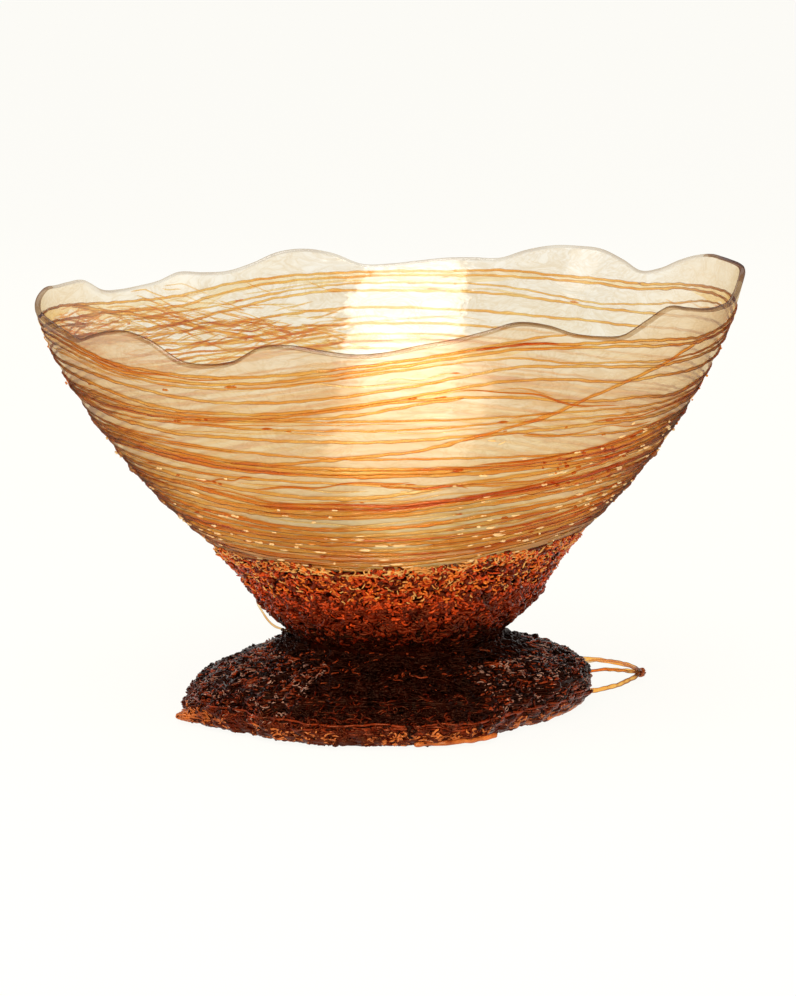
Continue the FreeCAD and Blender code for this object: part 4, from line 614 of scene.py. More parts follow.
def thin_glass(name, light, dark, edge, body=0.0, body_colour=(0.8, 0.4, 0.1), roughness=0.08, noise_scale=60.0,
               stretch=(1, 1, 1), bump=0.2, bump_scale=160.0, gloss_share=0.04, edge_gloss=0.4, tone=None, edge_stops=((0.35, 0.0), (0.95, 1.0)),
               stops=(0.30, 0.68), level_stops=None, shine=(1, 1, 1), bend=0.0, bend_roughness=0.25,
               body_stops=None, swirl=None):
    """Thin coloured glass: what is behind shows through tinted, deeper at grazing angles where
    the way through is longer, with a Fresnel gloss on top and a little of the glass's own colour."""
    m, nodes, links = new_material(name)
    out = nodes.new("ShaderNodeOutputMaterial")
    colour, vector = tint_nodes(nodes, links, [(stops[0], dark), (stops[1], light)], noise_scale=noise_scale,
                                stretch=stretch, tone=tone)
    if level_stops is not None:          # the tint by height on the object
        coord = nodes.new("ShaderNodeTexCoord")
        split = nodes.new("ShaderNodeSeparateXYZ")
        links.new(coord.outputs["Object"], split.inputs["Vector"])
        span = nodes.new("ShaderNodeMapRange")
        span.inputs["From Min"].default_value = level_stops[0]
        span.inputs["From Max"].default_value = level_stops[1]
        links.new(split.outputs["Z"], span.inputs["Value"])
        level = ramp(nodes, level_stops[2])
        level.color_ramp.interpolation = "LINEAR"
        links.new(span.outputs["Result"], level.inputs["Fac"])
        colour = blend_colour(nodes, links, 1.0, level.outputs["Color"], colour, "MULTIPLY")
    if swirl is not None:                # flow lines left by the hot glass
        flow = nodes.new("ShaderNodeTexNoise")
        flow.inputs["Scale"].default_value = swirl[0]
        flow.inputs["Detail"].default_value = 3.0
        flow.inputs["Distortion"].default_value = swirl[1]
        links.new(vector, flow.inputs["Vector"])
        lines = ramp(nodes, [(0.40, (1, 1, 1)), (0.47, swirl[2]), (0.50, (1, 1, 1)), (0.56, swirl[2]), (0.60, (1, 1, 1))])
        links.new(flow.outputs["Fac"], lines.inputs["Fac"])
        colour = blend_colour(nodes, links, 1.0, colour, lines.outputs["Color"], "MULTIPLY")
    colour = blend_colour(nodes, links, facing(nodes, links, edge_stops), colour, edge, "MULTIPLY")
    clear = nodes.new("ShaderNodeBsdfTransparent")
    links.new(colour, clear.inputs["Color"])
    normal = bump_normal(nodes, links, vector, bump_scale, bump)
    inner = clear.outputs["BSDF"]
    if bend > 0:                         # wavy glass blurs what is far behind it
        bent = nodes.new("ShaderNodeBsdfRefraction")
        bent.inputs["IOR"].default_value = 1.05
        bent.inputs["Roughness"].default_value = bend_roughness
        links.new(colour, bent.inputs["Color"])
        mix = nodes.new("ShaderNodeMixShader")
        mix.inputs["Fac"].default_value = bend
        links.new(inner, mix.inputs[1])
        links.new(bent.outputs["BSDF"], mix.inputs[2])
        inner = mix.outputs["Shader"]
    if body > 0 or body_stops is not None:          # milky share: threads and seed bubbles melted in
        tinted = blend_colour(nodes, links, 1.0, colour, body_colour, "MULTIPLY")
        front = nodes.new("ShaderNodeBsdfDiffuse")
        back = nodes.new("ShaderNodeBsdfTranslucent")
        links.new(tinted, front.inputs["Color"])
        links.new(tinted, back.inputs["Color"])
        both = nodes.new("ShaderNodeMixShader")
        both.inputs["Fac"].default_value = 0.5
        links.new(front.outputs["BSDF"], both.inputs[1])
        links.new(back.outputs["BSDF"], both.inputs[2])
        mix = nodes.new("ShaderNodeMixShader")
        if body_stops is None:
            mix.inputs["Fac"].default_value = body
        else:
            share = ramp(nodes, [(p, (v, v, v)) for p, v in body_stops])
            share.color_ramp.interpolation = "LINEAR"
            links.new(span.outputs["Result"], share.inputs["Fac"])
            links.new(share.outputs["Color"], mix.inputs["Fac"])
        links.new(inner, mix.inputs[1])
        links.new(both.outputs["Shader"], mix.inputs[2])
        inner = mix.outputs["Shader"]
    gloss = nodes.new("ShaderNodeBsdfGlossy")
    gloss.inputs["Roughness"].default_value = roughness
    gloss.inputs["Color"].default_value = (*shine, 1)
    links.new(normal, gloss.inputs["Normal"])
    mirror = facing(nodes, links, [(0.0, gloss_share), (0.4, gloss_share * 1.2), (0.6, gloss_share * 1.6),
                                   (0.8, max(gloss_share * 1.6, edge_gloss * 0.6)), (1.0, edge_gloss)], normal)
    top = nodes.new("ShaderNodeMixShader")
    links.new(mirror, top.inputs["Fac"])
    links.new(inner, top.inputs[1])
    links.new(gloss.outputs["BSDF"], top.inputs[2])
    links.new(top.outputs["Shader"], out.inputs["Surface"])
    return m


def deep_glass(name, light, dark, roughness=0.2, noise_scale=120.0, bump=0.2, bump_scale=260.0, tone=None, specular=0.35,
               through=0.0, stops=(0.3, 0.5, 0.7), middle=None, tint=(1.0, 0.62, 0.36)):
    """Thick dark glass thread: its own colour, a soft gloss, and on thin parts some light through."""
    m, nodes, links = new_material(name)
    out = nodes.new("ShaderNodeOutputMaterial")
    mid = middle or tuple(0.5 * (a + b) for a, b in zip(light, dark))
    colour, vector = tint_nodes(nodes, links, [(stops[0], dark), (stops[1], mid), (stops[2], light)],
                                noise_scale=noise_scale, tone=tone)
    bsdf = nodes.new("ShaderNodeBsdfPrincipled")
    links.new(colour, bsdf.inputs["Base Color"])
    bsdf.inputs["Roughness"].default_value = roughness
    bsdf.inputs["Specular IOR Level"].default_value = specular
    bsdf.inputs["Specular Tint"].default_value = (*tint, 1)
    links.new(bump_normal(nodes, links, vector, bump_scale, bump), bsdf.inputs["Normal"])
    shader = bsdf.outputs["BSDF"]
    if through > 0:
        clear = nodes.new("ShaderNodeBsdfTransparent")
        links.new(colour, clear.inputs["Color"])
        mix = nodes.new("ShaderNodeMixShader")
        mix.inputs["Fac"].default_value = through
        links.new(shader, mix.inputs[1])
        links.new(clear.outputs["BSDF"], mix.inputs[2])
        shader = mix.outputs["Shader"]
    links.new(shader, out.inputs["Surface"])
    return m

# colours are linear; thin_glass tints once at each face that the light crosses
SKIN = thin_glass("skin_glass", (1.0, 1.0, 1.0), (0.995, 0.98, 0.95), (0.99, 0.90, 0.74), roughness=0.07,
                  noise_scale=26.0, stretch=(1, 1, 2.2), bump=0.5, bump_scale=75.0, gloss_share=0.062, edge_gloss=0.10, shine=(1.0, 0.95, 0.86),
                  edge_stops=((0.30, 0.0), (1.0, 1.0)), bend=0.30, bend_roughness=0.5, body_colour=(1.0, 0.89, 0.64),
                  body_stops=((0.0, 0.52), (0.12, 0.42), (0.30, 0.20), (0.60, 0.06), (1.0, 0.02)),
                  swirl=(34.0, 2.2, (0.94, 0.90, 0.84)),
                  level_stops=(0.08, 0.225, [(0.0, (1.0, 0.975, 0.82)), (0.22, (1.0, 0.985, 0.90)),
                                             (0.50, (1.0, 0.988, 0.935)), (0.78, (0.998, 0.978, 0.93)),
                                             (1.0, (0.995, 0.982, 0.955))]))
RIM = thin_glass("skin_rim", (0.80, 0.68, 0.52), (0.56, 0.42, 0.28), (0.52, 0.38, 0.26), roughness=0.06,
                 noise_scale=30.0, bump=0.2, gloss_share=0.035, edge_gloss=0.08)
THREAD = thin_glass("thread_amber", (1.0, 0.86, 0.54), (0.99, 0.73, 0.34), (0.40, 0.17, 0.045), body=0.05,
                    body_colour=(1.0, 0.75, 0.40), roughness=0.07, noise_scale=45.0, bump=0.25, edge_gloss=0.03,
                    gloss_share=0.035, edge_stops=((0.42, 0.0), (0.80, 1.0)), shine=(1.0, 0.86, 0.62))
THREAD_DEEP = thin_glass("thread_deep", (1.0, 0.79, 0.42), (0.98, 0.64, 0.24), (0.34, 0.13, 0.03), body=0.05,
                         body_colour=(1.0, 0.65, 0.30), roughness=0.07, noise_scale=45.0, bump=0.25, edge_gloss=0.03,
                         gloss_share=0.035, edge_stops=((0.42, 0.0), (0.80, 1.0)), shine=(1.0, 0.82, 0.55))
FILM = thin_glass("amber_film", (1.0, 0.98, 0.90), (1.0, 0.935, 0.77), (1.0, 0.91, 0.74), body=0.0,
                  roughness=0.10, noise_scale=55.0, bump=0.5, stretch=(0.5, 0.5, 2.0), gloss_share=0.02, edge_gloss=0.04)
WISP = thin_glass("wisp_amber", (1.0, 0.93, 0.74), (0.90, 0.55, 0.18), (0.80, 0.54, 0.28), body=0.0, roughness=0.10,
                  tone=0.35, stops=(0.18, 0.80), noise_scale=80.0, bump=0.1, gloss_share=0.03, edge_gloss=0.03,
                  shine=(1.0, 0.86, 0.62))
# painted highlight: a bright gold colour that stands in for the small glints that light makes on the threads
PAINTED_GLINT = deep_glass("gold_painted_glint", (1.0, 0.80, 0.42), (1.0, 0.62, 0.24), roughness=0.14, specular=0.9, through=0.3,
                   tint=(1.0, 0.8, 0.5))
GOLD = thin_glass("fine_gold", (0.98, 0.88, 0.58), (0.94, 0.74, 0.36), (0.62, 0.40, 0.18), body=0.35,
                  body_colour=(1.0, 0.85, 0.55), roughness=0.12, noise_scale=80.0, edge_gloss=0.15)
FEATHER = thin_glass("feather_glass", (1.0, 0.92, 0.66), (1.0, 0.80, 0.44), (0.90, 0.58, 0.26), body=0.08,
                     body_colour=(1.0, 0.80, 0.45), roughness=0.12, noise_scale=80.0, edge_gloss=0.02)
# painted light: a paler copy of the rim glass for the lit back half of the lip
RIM_BACK_LIT = thin_glass("skin_rim_back_lit", (0.93, 0.90, 0.84), (0.84, 0.79, 0.72), (0.80, 0.74, 0.66), roughness=0.06,
                      noise_scale=30.0, bump=0.2, gloss_share=0.045, edge_gloss=0.1)
# painted shade: a darker copy of the rim glass for the right of the lip
RIM_RIGHT_SHADED = thin_glass("skin_rim_right_shaded", (0.62, 0.44, 0.32), (0.40, 0.24, 0.15), (0.36, 0.20, 0.12), roughness=0.06,
                      noise_scale=30.0, bump=0.2, gloss_share=0.035, edge_gloss=0.06)
RED_SHINE = (1.0, 0.42, 0.16)
CUP_DARK = deep_glass("cup_dark", (0.16, 0.010, 0.0008), (0.030, 0.0018, 0.0003), roughness=0.14, specular=0.4,
                      tint=RED_SHINE)
CUP_RED = deep_glass("cup_red", (0.72, 0.060, 0.004), (0.26, 0.012, 0.0008), roughness=0.12, specular=0.9, through=0.15,
                     tint=RED_SHINE)
CUP_ORANGE = deep_glass("cup_orange", (0.98, 0.24, 0.022), (0.58, 0.07, 0.005), roughness=0.12, specular=0.9,
                        through=0.2, tint=(1.0, 0.55, 0.24))
# painted highlight: a bright gold that stands in for the glints on the cup's tangle, with real see-through and gloss as
# well
CUP_PAINTED_HIGHLIGHT = deep_glass("cup_gold_painted_highlight", (1.0, 0.60, 0.17), (0.85, 0.30, 0.045), roughness=0.12, specular=0.9, through=0.35,
                      tint=(1.0, 0.75, 0.40))
NECK_DARK = deep_glass("neck_dark", (0.022, 0.002, 0.0005), (0.004, 0.0006, 0.0003), roughness=0.2, specular=0.12,
                       tint=RED_SHINE)
NECK_RED = deep_glass("neck_red", (0.20, 0.016, 0.002), (0.05, 0.003, 0.0006), roughness=0.16, specular=0.4,
                      tint=RED_SHINE)
FOOT_DARK = deep_glass("foot_dark", (0.020, 0.0026, 0.0007), (0.004, 0.0007, 0.0003), roughness=0.2, specular=0.10,
                       tint=(1.0, 0.5, 0.28))
FOOT_RED = deep_glass("foot_red", (0.27, 0.030, 0.0045), (0.05, 0.004, 0.0008), roughness=0.16, specular=0.4,
                      tint=(1.0, 0.5, 0.25))
# painted highlight: a lighter brown that stands in for grey glints on the dark foot, under a real strong gloss
FOOT_PAINTED_HIGHLIGHT = deep_glass("foot_grey_painted_highlight", (0.42, 0.20, 0.12), (0.09, 0.018, 0.008), roughness=0.12, specular=0.9,
                       tint=(1.0, 0.84, 0.72))
EDGE_RED = deep_glass("edge_red", (0.10, 0.0075, 0.0010), (0.026, 0.0016, 0.0004), roughness=0.14, specular=0.35, through=0.1,
                      tint=RED_SHINE)
EDGE_PALE = deep_glass("edge_orange", (0.80, 0.21, 0.036), (0.28, 0.04, 0.005), roughness=0.14, specular=0.7,
                       through=0.25, tint=(1.0, 0.72, 0.42))
CORE = deep_glass("nest_core", (0.030, 0.003, 0.0005), (0.004, 0.0006, 0.0003), roughness=0.4, noise_scale=90.0,
                  bump=1.0, specular=0.04)
PALE = thin_glass("loop_pale", (0.94, 0.83, 0.62), (0.88, 0.66, 0.38), (0.45, 0.25, 0.12), body=0.05, roughness=0.05,
                  noise_scale=60.0, bump=0.1)

# ------------------------------------------------------------------ the skin
def build_skin():
    turns, rng = 900, np.random.default_rng(11)
    deg = np.arange(turns) * 360.0 / turns
    top = periodic(RIM_HEIGHT, deg)
    lobe = np.clip((top - 168.0) / 14.0, -0.6, 1.0)
    curl = lobe * (1.2 * np.sin(np.radians(2 * deg + 50)) + 0.6)
    wobble = ripple(deg, rng, [90, 51.43, 27.69, 18], 0.35)
    rows = []
    kinds = []
    outer_v = np.concatenate([np.linspace(0.0, 0.9, 46), np.linspace(0.915, 1.0, 12)])
    low = 1.0
    half = WALL / 2

    def place(v, depth):
        """A point on the wall: v runs up the wall, depth 0 is the outer face, 1 the inner."""
        z = low + (top - 1.3 - low) * v
        r = skin_radius(z)
        slope = skin_slope(z)
        size = np.sqrt(1 + slope * slope)
        near_top = np.clip((z - (top - 22.0)) / 22.0, 0, 1) ** 2
        thick = WALL * (1 + 0.18 * near_top)
        r = r + wobble * np.clip(v, 0, 1) + curl * near_top
        return r - depth * thick / size, z + depth * thick * slope / size, slope, thick

    for v in outer_v:
        r, z, _, _ = place(v, 0.0)
        rows.append((r, z))
        kinds.append(0)
    # rounded lip
    ro, zo, slope, thick = place(1.0, 0.0)
    ri, zi, _, _ = place(1.0, 1.0)
    size = np.sqrt(1 + slope * slope)
    up_r, up_z = slope / size, 1.0 / size
    for a in np.linspace(0, math.pi, 9)[1:-1]:
        c = 0.5 - 0.5 * math.cos(a)
        lift = math.sin(a) * thick * 0.55
        rows.append((ro + (ri - ro) * c + up_r * lift, zo + (zi - zo) * c + up_z * lift))
        kinds.append(1)
    for v in outer_v[::-1]:
        if v * 170 + low < 7:
            continue
        r, z, _, _ = place(v, 1.0)
        rows.append((r, z))
        kinds.append(0)
    # bowl floor, closed at the middle on both faces
    last_r, last_z = rows[-1]
    for f in (0.8, 0.55, 0.3, 0.1):
        rows.append((last_r * f, 4.6 + (last_z - 4.6) * f ** 3))
        kinds.append(0)
    inside_centre = (0.0, 0.0, 4.6)
    rows_r = np.array([r for r, z in rows])
    rows_z = np.array([z + 0 * deg for r, z in rows])
    under = [(skin_radius(low) * f + 0 * deg, low + 0 * deg) for f in (0.1, 0.4, 0.75)]
    rows_r = np.vstack([[u[0] for u in under], rows_r])
    rows_z = np.vstack([[u[1] for u in under], rows_z])
    kinds = [0, 0, 0] + kinds
    x = rows_r * np.cos(np.radians(deg))
    y = rows_r * np.sin(np.radians(deg))
    verts = np.stack([x, y, rows_z], -1).reshape(-1, 3)
    count = len(rows_r)
    i = np.arange(count - 1)[:, None] * turns
    j = np.arange(turns)[None, :]
    j2 = (j + 1) % turns
    quads = np.stack([i + j, i + j2, i + turns + j2, i + turns + j], -1)
    which = np.array(kinds)
    per = np.maximum(which[:-1], which[1:])
    mats = np.repeat(per[:, None], turns, 1)
    # painted light and shade on the lip: the back half takes the paler copy, the right side the darker one
    mats[(mats == 1) & ((deg > 22) & (deg < 168))[None]] = 2
    mats[(mats == 1) & ((deg > 352) | (deg < 16))[None]] = 3
    mats = mats.reshape(-1)
    quads = quads.reshape(-1, 4)
    centre_low, centre_high = len(verts), len(verts) + 1
    verts = np.vstack([verts, [[0, 0, low]], [list(inside_centre)]])
    fan_low = np.stack([np.full(turns, centre_low), (np.arange(turns) + 1) % turns, np.arange(turns)], -1)
    top_row = (count - 1) * turns
    fan_high = np.stack([np.full(turns, centre_high), top_row + np.arange(turns), top_row + (np.arange(turns) + 1) % turns], -1)
    mats = np.concatenate([mats, np.zeros(2 * turns, int)])
    obj = mesh_object("bowl_skin_glass", to_world(verts), [quads, fan_low, fan_high], [SKIN, RIM, RIM_BACK_LIT, RIM_RIGHT_SHADED],
                      face_material=mats)
    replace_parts(obj, "bowl_skin")
    return obj


build_skin()


# ------------------------------------------------------------------ wound threads
def on_skin(deg, z, lift):
    r = skin_radius(z) + lift
    a = np.radians(deg)
    return np.stack([r * np.cos(a), r * np.sin(a), z + 0 * a], -1)


def thread_piece(label, gauge, deg, z, seed, material, flat=1.0, count_sides=8, tip=1.0):
    rng = np.random.default_rng(seed)
    size = GAUGE[gauge] / 2 * (0.84 - 0.22 * min(1.0, max(0.0, (float(np.mean(z)) - 95.0) / 40.0)))
    length = deg * math.pi / 180 * float(np.mean(skin_radius(z)))
    z = z + ripple(length, rng, [61.0, 33.0, 19.0, 11.0], 0.30)
    thick = 1 + ripple(length, rng, [47.0, 23.0, 9.0], 0.14)
    for _ in range(max(1, len(deg) // 90)):          # a few thick drops along the thread
        at = rng.uniform(length[0], length[-1])
        thick += rng.uniform(0.2, 0.6) * np.exp(-((length - at) / rng.uniform(1.5, 5.0)) ** 2)
    ends = np.minimum(length - length[0], length[-1] - length) / (3.0 * tip)
    thick = thick * (0.25 + 0.75 * np.clip(ends, 0, 1) ** 0.5)
    lift = size * 0.92 - SINK + ripple(length, rng, [83.0, 29.0], 0.12)
    path = on_skin(deg, z, lift)
    verts, faces, _ = tubes(path[None], (size * flat * thick)[None], (size * 0.95 * thick)[None], count_sides)
    obj = mesh_object("glass_" + label, to_world(verts), faces, material)
    return obj


THREAD_HEIGHT = {}
for number, (label, (gauge, heights)) in enumerate(THREADS.items()):
    start = (4 + number * 5 % 11) * 10.0
    deg = start + np.linspace(0.0, 360.5, 620)
    material = THREAD if label[7] in "a" else (THREAD if number % 3 else THREAD_DEEP)
    obj = thread_piece(label, gauge, deg, periodic(heights, deg), 100 + number, material)
    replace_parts(obj, label)

for number, (label, (gauge, stations)) in enumerate(SHORT_THREADS.items()):
    curve = open_curve(stations, 40 * len(stations))
    obj = thread_piece(label, gauge, curve[:, 0], curve[:, 1], 300 + number, THREAD_DEEP if "slant" in label else THREAD)
    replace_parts(obj, label)


# ------------------------------------------------------------------ amber films between threads
LEVELS = sorted(THREADS, key=lambda k: -float(np.mean(THREADS[k][1])))


def level_height(u, deg):
    """Height of an imagined thread at level u (0 the top thread), following its neighbours."""
    table = np.array([periodic(THREADS[k][1], deg) for k in LEVELS])
    table = np.sort(table, axis=0)[::-1]
    u = np.clip(u, 0, len(LEVELS) - 1.001)
    i = np.floor(u).astype(int)
    f = u - i
    k = np.arange(len(deg))
    return table[i, k] * (1 - f) + table[i + 1, k] * f


def film(name, upper, lower, seed, most=5.5, spare=0.5, mask=None):
    rng = np.random.default_rng(seed)
    deg = np.linspace(0, 360, 721)
    a = periodic(THREADS[upper][1], deg)
    b = periodic(THREADS[lower][1], deg)
    high, low = np.maximum(a, b), np.minimum(a, b)
    width = np.clip(high - low, 0.3, most)
    fade = np.clip((most + 2.5 - (high - low)) / 2.5, 0.0, 1.0)
    edge = 0.5 + 0.5 * np.clip(ripple(deg, rng, [60, 25.71, 11.25, 7.2], 1.0) + 0.6, -1, 1)
    fade = fade * edge
    if mask is not None:
        fade = fade * mask(deg)
    half = 0.25 + (width / 2 + spare - 0.25) * fade
    middle = high - width / 2 * fade
    path = on_skin(deg, middle, 0.12 + 0 * deg)
    path[-1] = path[0]
    verts, faces, _ = tubes(path[None], half[None], (0.25 + 0.45 * fade)[None], 8)
    return mesh_object(name, to_world(verts), faces, FILM)


PAIRS = [("a1", "a2", 6.0), ("a2", "a3", 4.0), ("a5", "a6", 4.5), ("a6", "a8", 3.0), ("a8", "a9", 3.0), ("a9", "b1", 3.0),
         ("b4", "b5", 4.5), ("b4", "b6", 4.0), ("b7", "b8", 3.5), ("c1", "c2", 3.5), ("c2", "c3", 4.0), ("c4", "c5", 3.2),
         ("c6", "c7", 3.0), ("c8", "d1", 3.0), ("d2", "d3", 3.5), ("d3", "d4", 3.0)]
for number, (upper, lower, most) in enumerate(PAIRS):
    film("film_%s_%s" % (upper, lower), "thread_" + upper, "thread_" + lower, 500 + number, most)


# ------------------------------------------------------------------ fine wisps
def wisps(name, count, seed, level, length, radius, tone, material=WISP, slope=0.9, lift=(0.1, 0.9), rings=26,
          around=(0, 360)):
    rng = np.random.default_rng(seed)
    paths, across, tones = [], [], []
    for _ in range(count):
        start = rng.uniform(*around)
        u0 = rng.uniform(*level)
        long = rng.uniform(*length)
        z_mid = float(level_height(np.array([u0]), np.array([start]))[0])
        span = math.degrees(long / max(60.0, float(skin_radius(z_mid))))
        deg = np.linspace(start, start + span, rings)
        s = np.linspace(0, 1, rings)
        u = u0 + rng.normal(0, slope) * s
        if long > 12:
            u = u + 0.10 * np.sin(2 * np.pi * s * rng.uniform(0.6, 2.5) + rng.uniform(0, 6))
        z = level_height(u, deg)
        if long > 12:
            z = z + 0.25 * np.sin(s * long / rng.uniform(4, 9) + rng.uniform(0, 6))
        paths.append(on_skin(deg, z, rng.uniform(*lift)))
        size = rng.uniform(*radius) * (1 + 0.3 * np.sin(s * rng.uniform(5, 15) + rng.uniform(0, 6)))
        across.append(size * (0.15 + 0.85 * np.clip(np.minimum(s, 1 - s) * 14, 0, 1)))
        tones.append(np.clip(rng.normal(*tone), 0, 1))
    across = np.array(across)
    verts, faces, owner = tubes(np.array(paths), across, across, 5)
    return mesh_object(name, to_world(verts), faces, material, tones=np.array(tones)[owner])


wisps("wisps_upper", 40, 21, (0, 7), (30, 120), (0.22, 0.5), (0.45, 0.2))
wisps("wisps_middle", 90, 22, (6, 15), (25, 170), (0.25, 0.6), (0.45, 0.22))
wisps("wisps_lower", 170, 23, (14, 26), (25, 160), (0.25, 0.65), (0.45, 0.25))
wisps("dashes", 120, 24, (0.5, 26), (1.8, 7), (0.30, 0.6), (0.02, 0.04), slope=0.04, lift=(0.9, 2.0), rings=6)
wisps("dashes_left", 36, 25, (8, 17), (1.0, 3.5), (0.35, 0.7), (0.02, 0.04), slope=0.04, lift=(0.6, 2.0), rings=6,
      around=(-62, -36))
wisps("gold_wisps", 46, 26, (23.5, 26.9), (40, 150), (0.35, 0.7), (0.5, 0.2), material=GOLD, slope=0.5, lift=(0.5, 1.5))
# painted highlights: short bright gold dashes over the threads where they catch the light, lower centre and right
wisps("painted_highlight_dashes", 240, 27, (13, 26.9), (1.5, 7), (0.28, 0.65), (0.5, 0.2), material=PAINTED_GLINT, slope=0.05, lift=(1.2, 2.4),
      rings=6)
wisps("right_painted_highlights", 45, 28, (8, 22), (1.5, 5), (0.25, 0.55), (0.5, 0.2), material=PAINTED_GLINT, slope=0.05, lift=(1.2, 2.4),
      rings=6, around=(-75, -20))


# ------------------------------------------------------------------ the feathery tangle, back left
def feather():
    """Fine strokes laid herringbone fashion along the slanting threads, back left."""
    rng = np.random.default_rng(31)
    rings = 14
    s = np.linspace(0, 1, rings)
    for name, count, material, radius, spread in (("feather_gold", 320, FEATHER, (0.18, 0.42), 7.0),
                                                  ("feather_amber", 70, THREAD, (0.25, 0.45), 5.0)):
        paths, across, tones = [], [], []
        for _ in range(count):
            deg0 = rng.uniform(96, 164)
            middle = np.interp(deg0, [98, 115, 130, 150, 166], [133, 138, 144, 150, 155])
            z0 = middle + rng.normal(0, spread)
            long = rng.uniform(7, 32)
            lean = rng.choice([-0.16, -0.05, 0.05, 0.18, 0.42]) + rng.normal(0, 0.06)
            deg = deg0 + np.degrees(long * math.cos(lean) / 165.0) * s
            z = z0 + long * math.sin(lean) * s + 0.5 * np.sin(s * rng.uniform(2, 6) + rng.uniform(0, 6))
            z = np.clip(z, 118, 166)
            paths.append(on_skin(deg, z, rng.uniform(0.1, 1.2)))
            size = rng.uniform(*radius)
            across.append(size * (0.2 + 0.8 * np.clip(np.minimum(s, 1 - s) * 8, 0, 1)))
            tones.append(np.clip(rng.normal(0.45, 0.2), 0, 1))
        across = np.array(across)
        verts, faces, owner = tubes(np.array(paths), across, across, 5)
        mesh_object(name, to_world(verts), faces, material, tones=np.array(tones)[owner])


feather()


# ------------------------------------------------------------------ the tangled nests
def foot_radius(z, deg):
    levels = np.array([l for l, _ in FOOT_OUTLINE])
    t = (np.asarray(deg, float) % 360.0) / 22.5
    i = np.floor(t).astype(int) % 16
    f = t - np.floor(t)
    f = 3 * f ** 2 - 2 * f ** 3
    table = np.array([r for _, r in FOOT_OUTLINE], float)
    rr = table[:, i] * (1 - f) + table[:, (i + 1) % 16] * f
    out = np.empty_like(np.asarray(deg, float))
    z = np.broadcast_to(z, out.shape)
    for n in range(len(out)):
        out[n] = np.interp(z[n], levels, rr[:, n])
    return out


def waist(z):
    """How far the tangle draws in at the neck (world height, mm)."""
    return 3.6 * np.exp(-((np.asarray(z, float) - 39.0) / 9.5) ** 2)


def lumps(z, deg, rows):
    """The knotted tangle's uneven surface: (waves per turn, size in mm, slant, phase)."""
    out = 0.0
    for per_turn, size, slant, phase in rows:
        out = out + size * np.sin(np.radians(per_turn * np.asarray(deg, float)) + slant * np.asarray(z, float) + phase)
    return out


FOOT_LUMPS = [(23, 0.9, 0.30, 0.7), (41, 0.8, -0.55, 1.9), (67, 0.6, 0.80, 0.2)]
CUP_LUMPS = [(19, 0.7, 0.25, 1.1), (37, 0.6, -0.45, 0.4), (59, 0.4, 0.70, 2.2)]


def surface_cup(s, deg):
    """s 0..1 from the neck up to the nest's top edge, in the bowl frame."""
    z = -1.5 + 54.0 * s
    r = np.interp(z, NEST_HEIGHT + [70.0], NEST_OUTLINE + [112.4]) - 0.8 - waist(z + 36.5)
    r = r + lumps(z, deg, CUP_LUMPS)
    side = (np.asarray(deg, float) + 180.0) % 360.0 - 180.0
    r = r + 3.6 * np.exp(-((side + 4.0) / 7.0) ** 2 - ((z - 21.0) / 5.0) ** 2)      # one thick knot
    a = np.radians(deg)
    return to_world(np.stack([r * np.cos(a), r * np.sin(a), z], -1))


FOOT_S = [0.0, 0.10, 0.22, 0.34, 0.52, 0.74, 1.0]
FOOT_Z = [1.2, 6.0, 12.0, 17.0, 24.0, 30.0, 38.5]


def surface_foot(s, deg):
    """s 0..1 from the table up the edge and over the top to the neck."""
    z = np.interp(s, FOOT_S, FOOT_Z)
    r = foot_radius(np.minimum(z, 36.0), deg) - 1.0 - waist(z) + lumps(z, deg, FOOT_LUMPS)
    a = np.radians(deg)
    return np.stack([r * np.cos(a), r * np.sin(a), z + 0 * a], -1)


def nest(name, surface, count, seed, s_range, mm_per_s, material, radius=(0.24, 0.42), steps=9,
         step=1.05, swell=(-0.6, 1.6), flatness=0.8, around=(0.0, 360.0), curl=0.55, floor=None, power=1.0, flick=0.0):
    """Short curly threads laid over a surface. s_range: where up the surface; flick: how far
    the loose ends lift off."""
    rng = np.random.default_rng(seed)
    deg = rng.uniform(*around, count)
    top = s_range[1] + 0 * deg
    if s_range[1] >= 1.0 and surface is surface_cup:      # the tangle's ragged upper edge
        off = (deg + 180.0) % 360.0 - 180.0
        top = top + 0.035 * np.sin(np.radians(deg * 5 + 40)) + 0.03 * np.sin(np.radians(deg * 11)) - 0.02
        top = top + 0.13 * np.exp(-((off + 33.0) / 20.0) ** 2) + 0.05 * np.exp(-((off + 150.0) / 18.0) ** 2)
    s = s_range[0] + (top - s_range[0]) * rng.uniform(0, 1, count) ** power
    heading = rng.normal(0, 1, count) * flatness + rng.choice([0, math.pi], count)
    turn = rng.normal(0, curl, count)
    swirl = rng.uniform(0, 2 * np.pi, count)
    base_lift = rng.uniform(*swell, count)
    loose = flick * rng.uniform(0, 1, count) ** 4
    pts = []
    for k in range(steps):
        p = surface(np.clip(s, 0.0, np.maximum(top, 1.0)), deg)
        axis = np.array([SHIFT * 0.5, 0, 0])
        out = p - axis
        out[:, 2] = 0
        radius_here = np.linalg.norm(out, axis=1)
        out /= radius_here[:, None]
        out[:, 2] = 0.75 if surface is surface_foot else -0.35
        out /= np.linalg.norm(out, axis=1)[:, None]
        wave = base_lift + 0.55 * np.sin(swirl + k * 1.1) + loose * (k / (steps - 1.0)) ** 2
        pts.append(p + out * wave[:, None])
        deg = deg + np.degrees(step * np.cos(heading) / radius_here)
        s = s + step * np.sin(heading) / mm_per_s
        heading = heading + turn * 0.6 + rng.normal(0, 0.3, count)
    pts = np.stack(pts, 1)
    pts[:, 1:-1] = 0.5 * pts[:, 1:-1] + 0.25 * (pts[:, :-2] + pts[:, 2:])
    size = rng.uniform(*radius, count)[:, None] * np.ones(steps)
    size[:, 0] *= 0.5
    size[:, -1] *= 0.5
    if floor is not None:
        pts[..., 2] = np.maximum(pts[..., 2], size + floor)
    verts, faces, owner = tubes(pts, size, size, 5)
    return mesh_object(name, verts, faces, material)


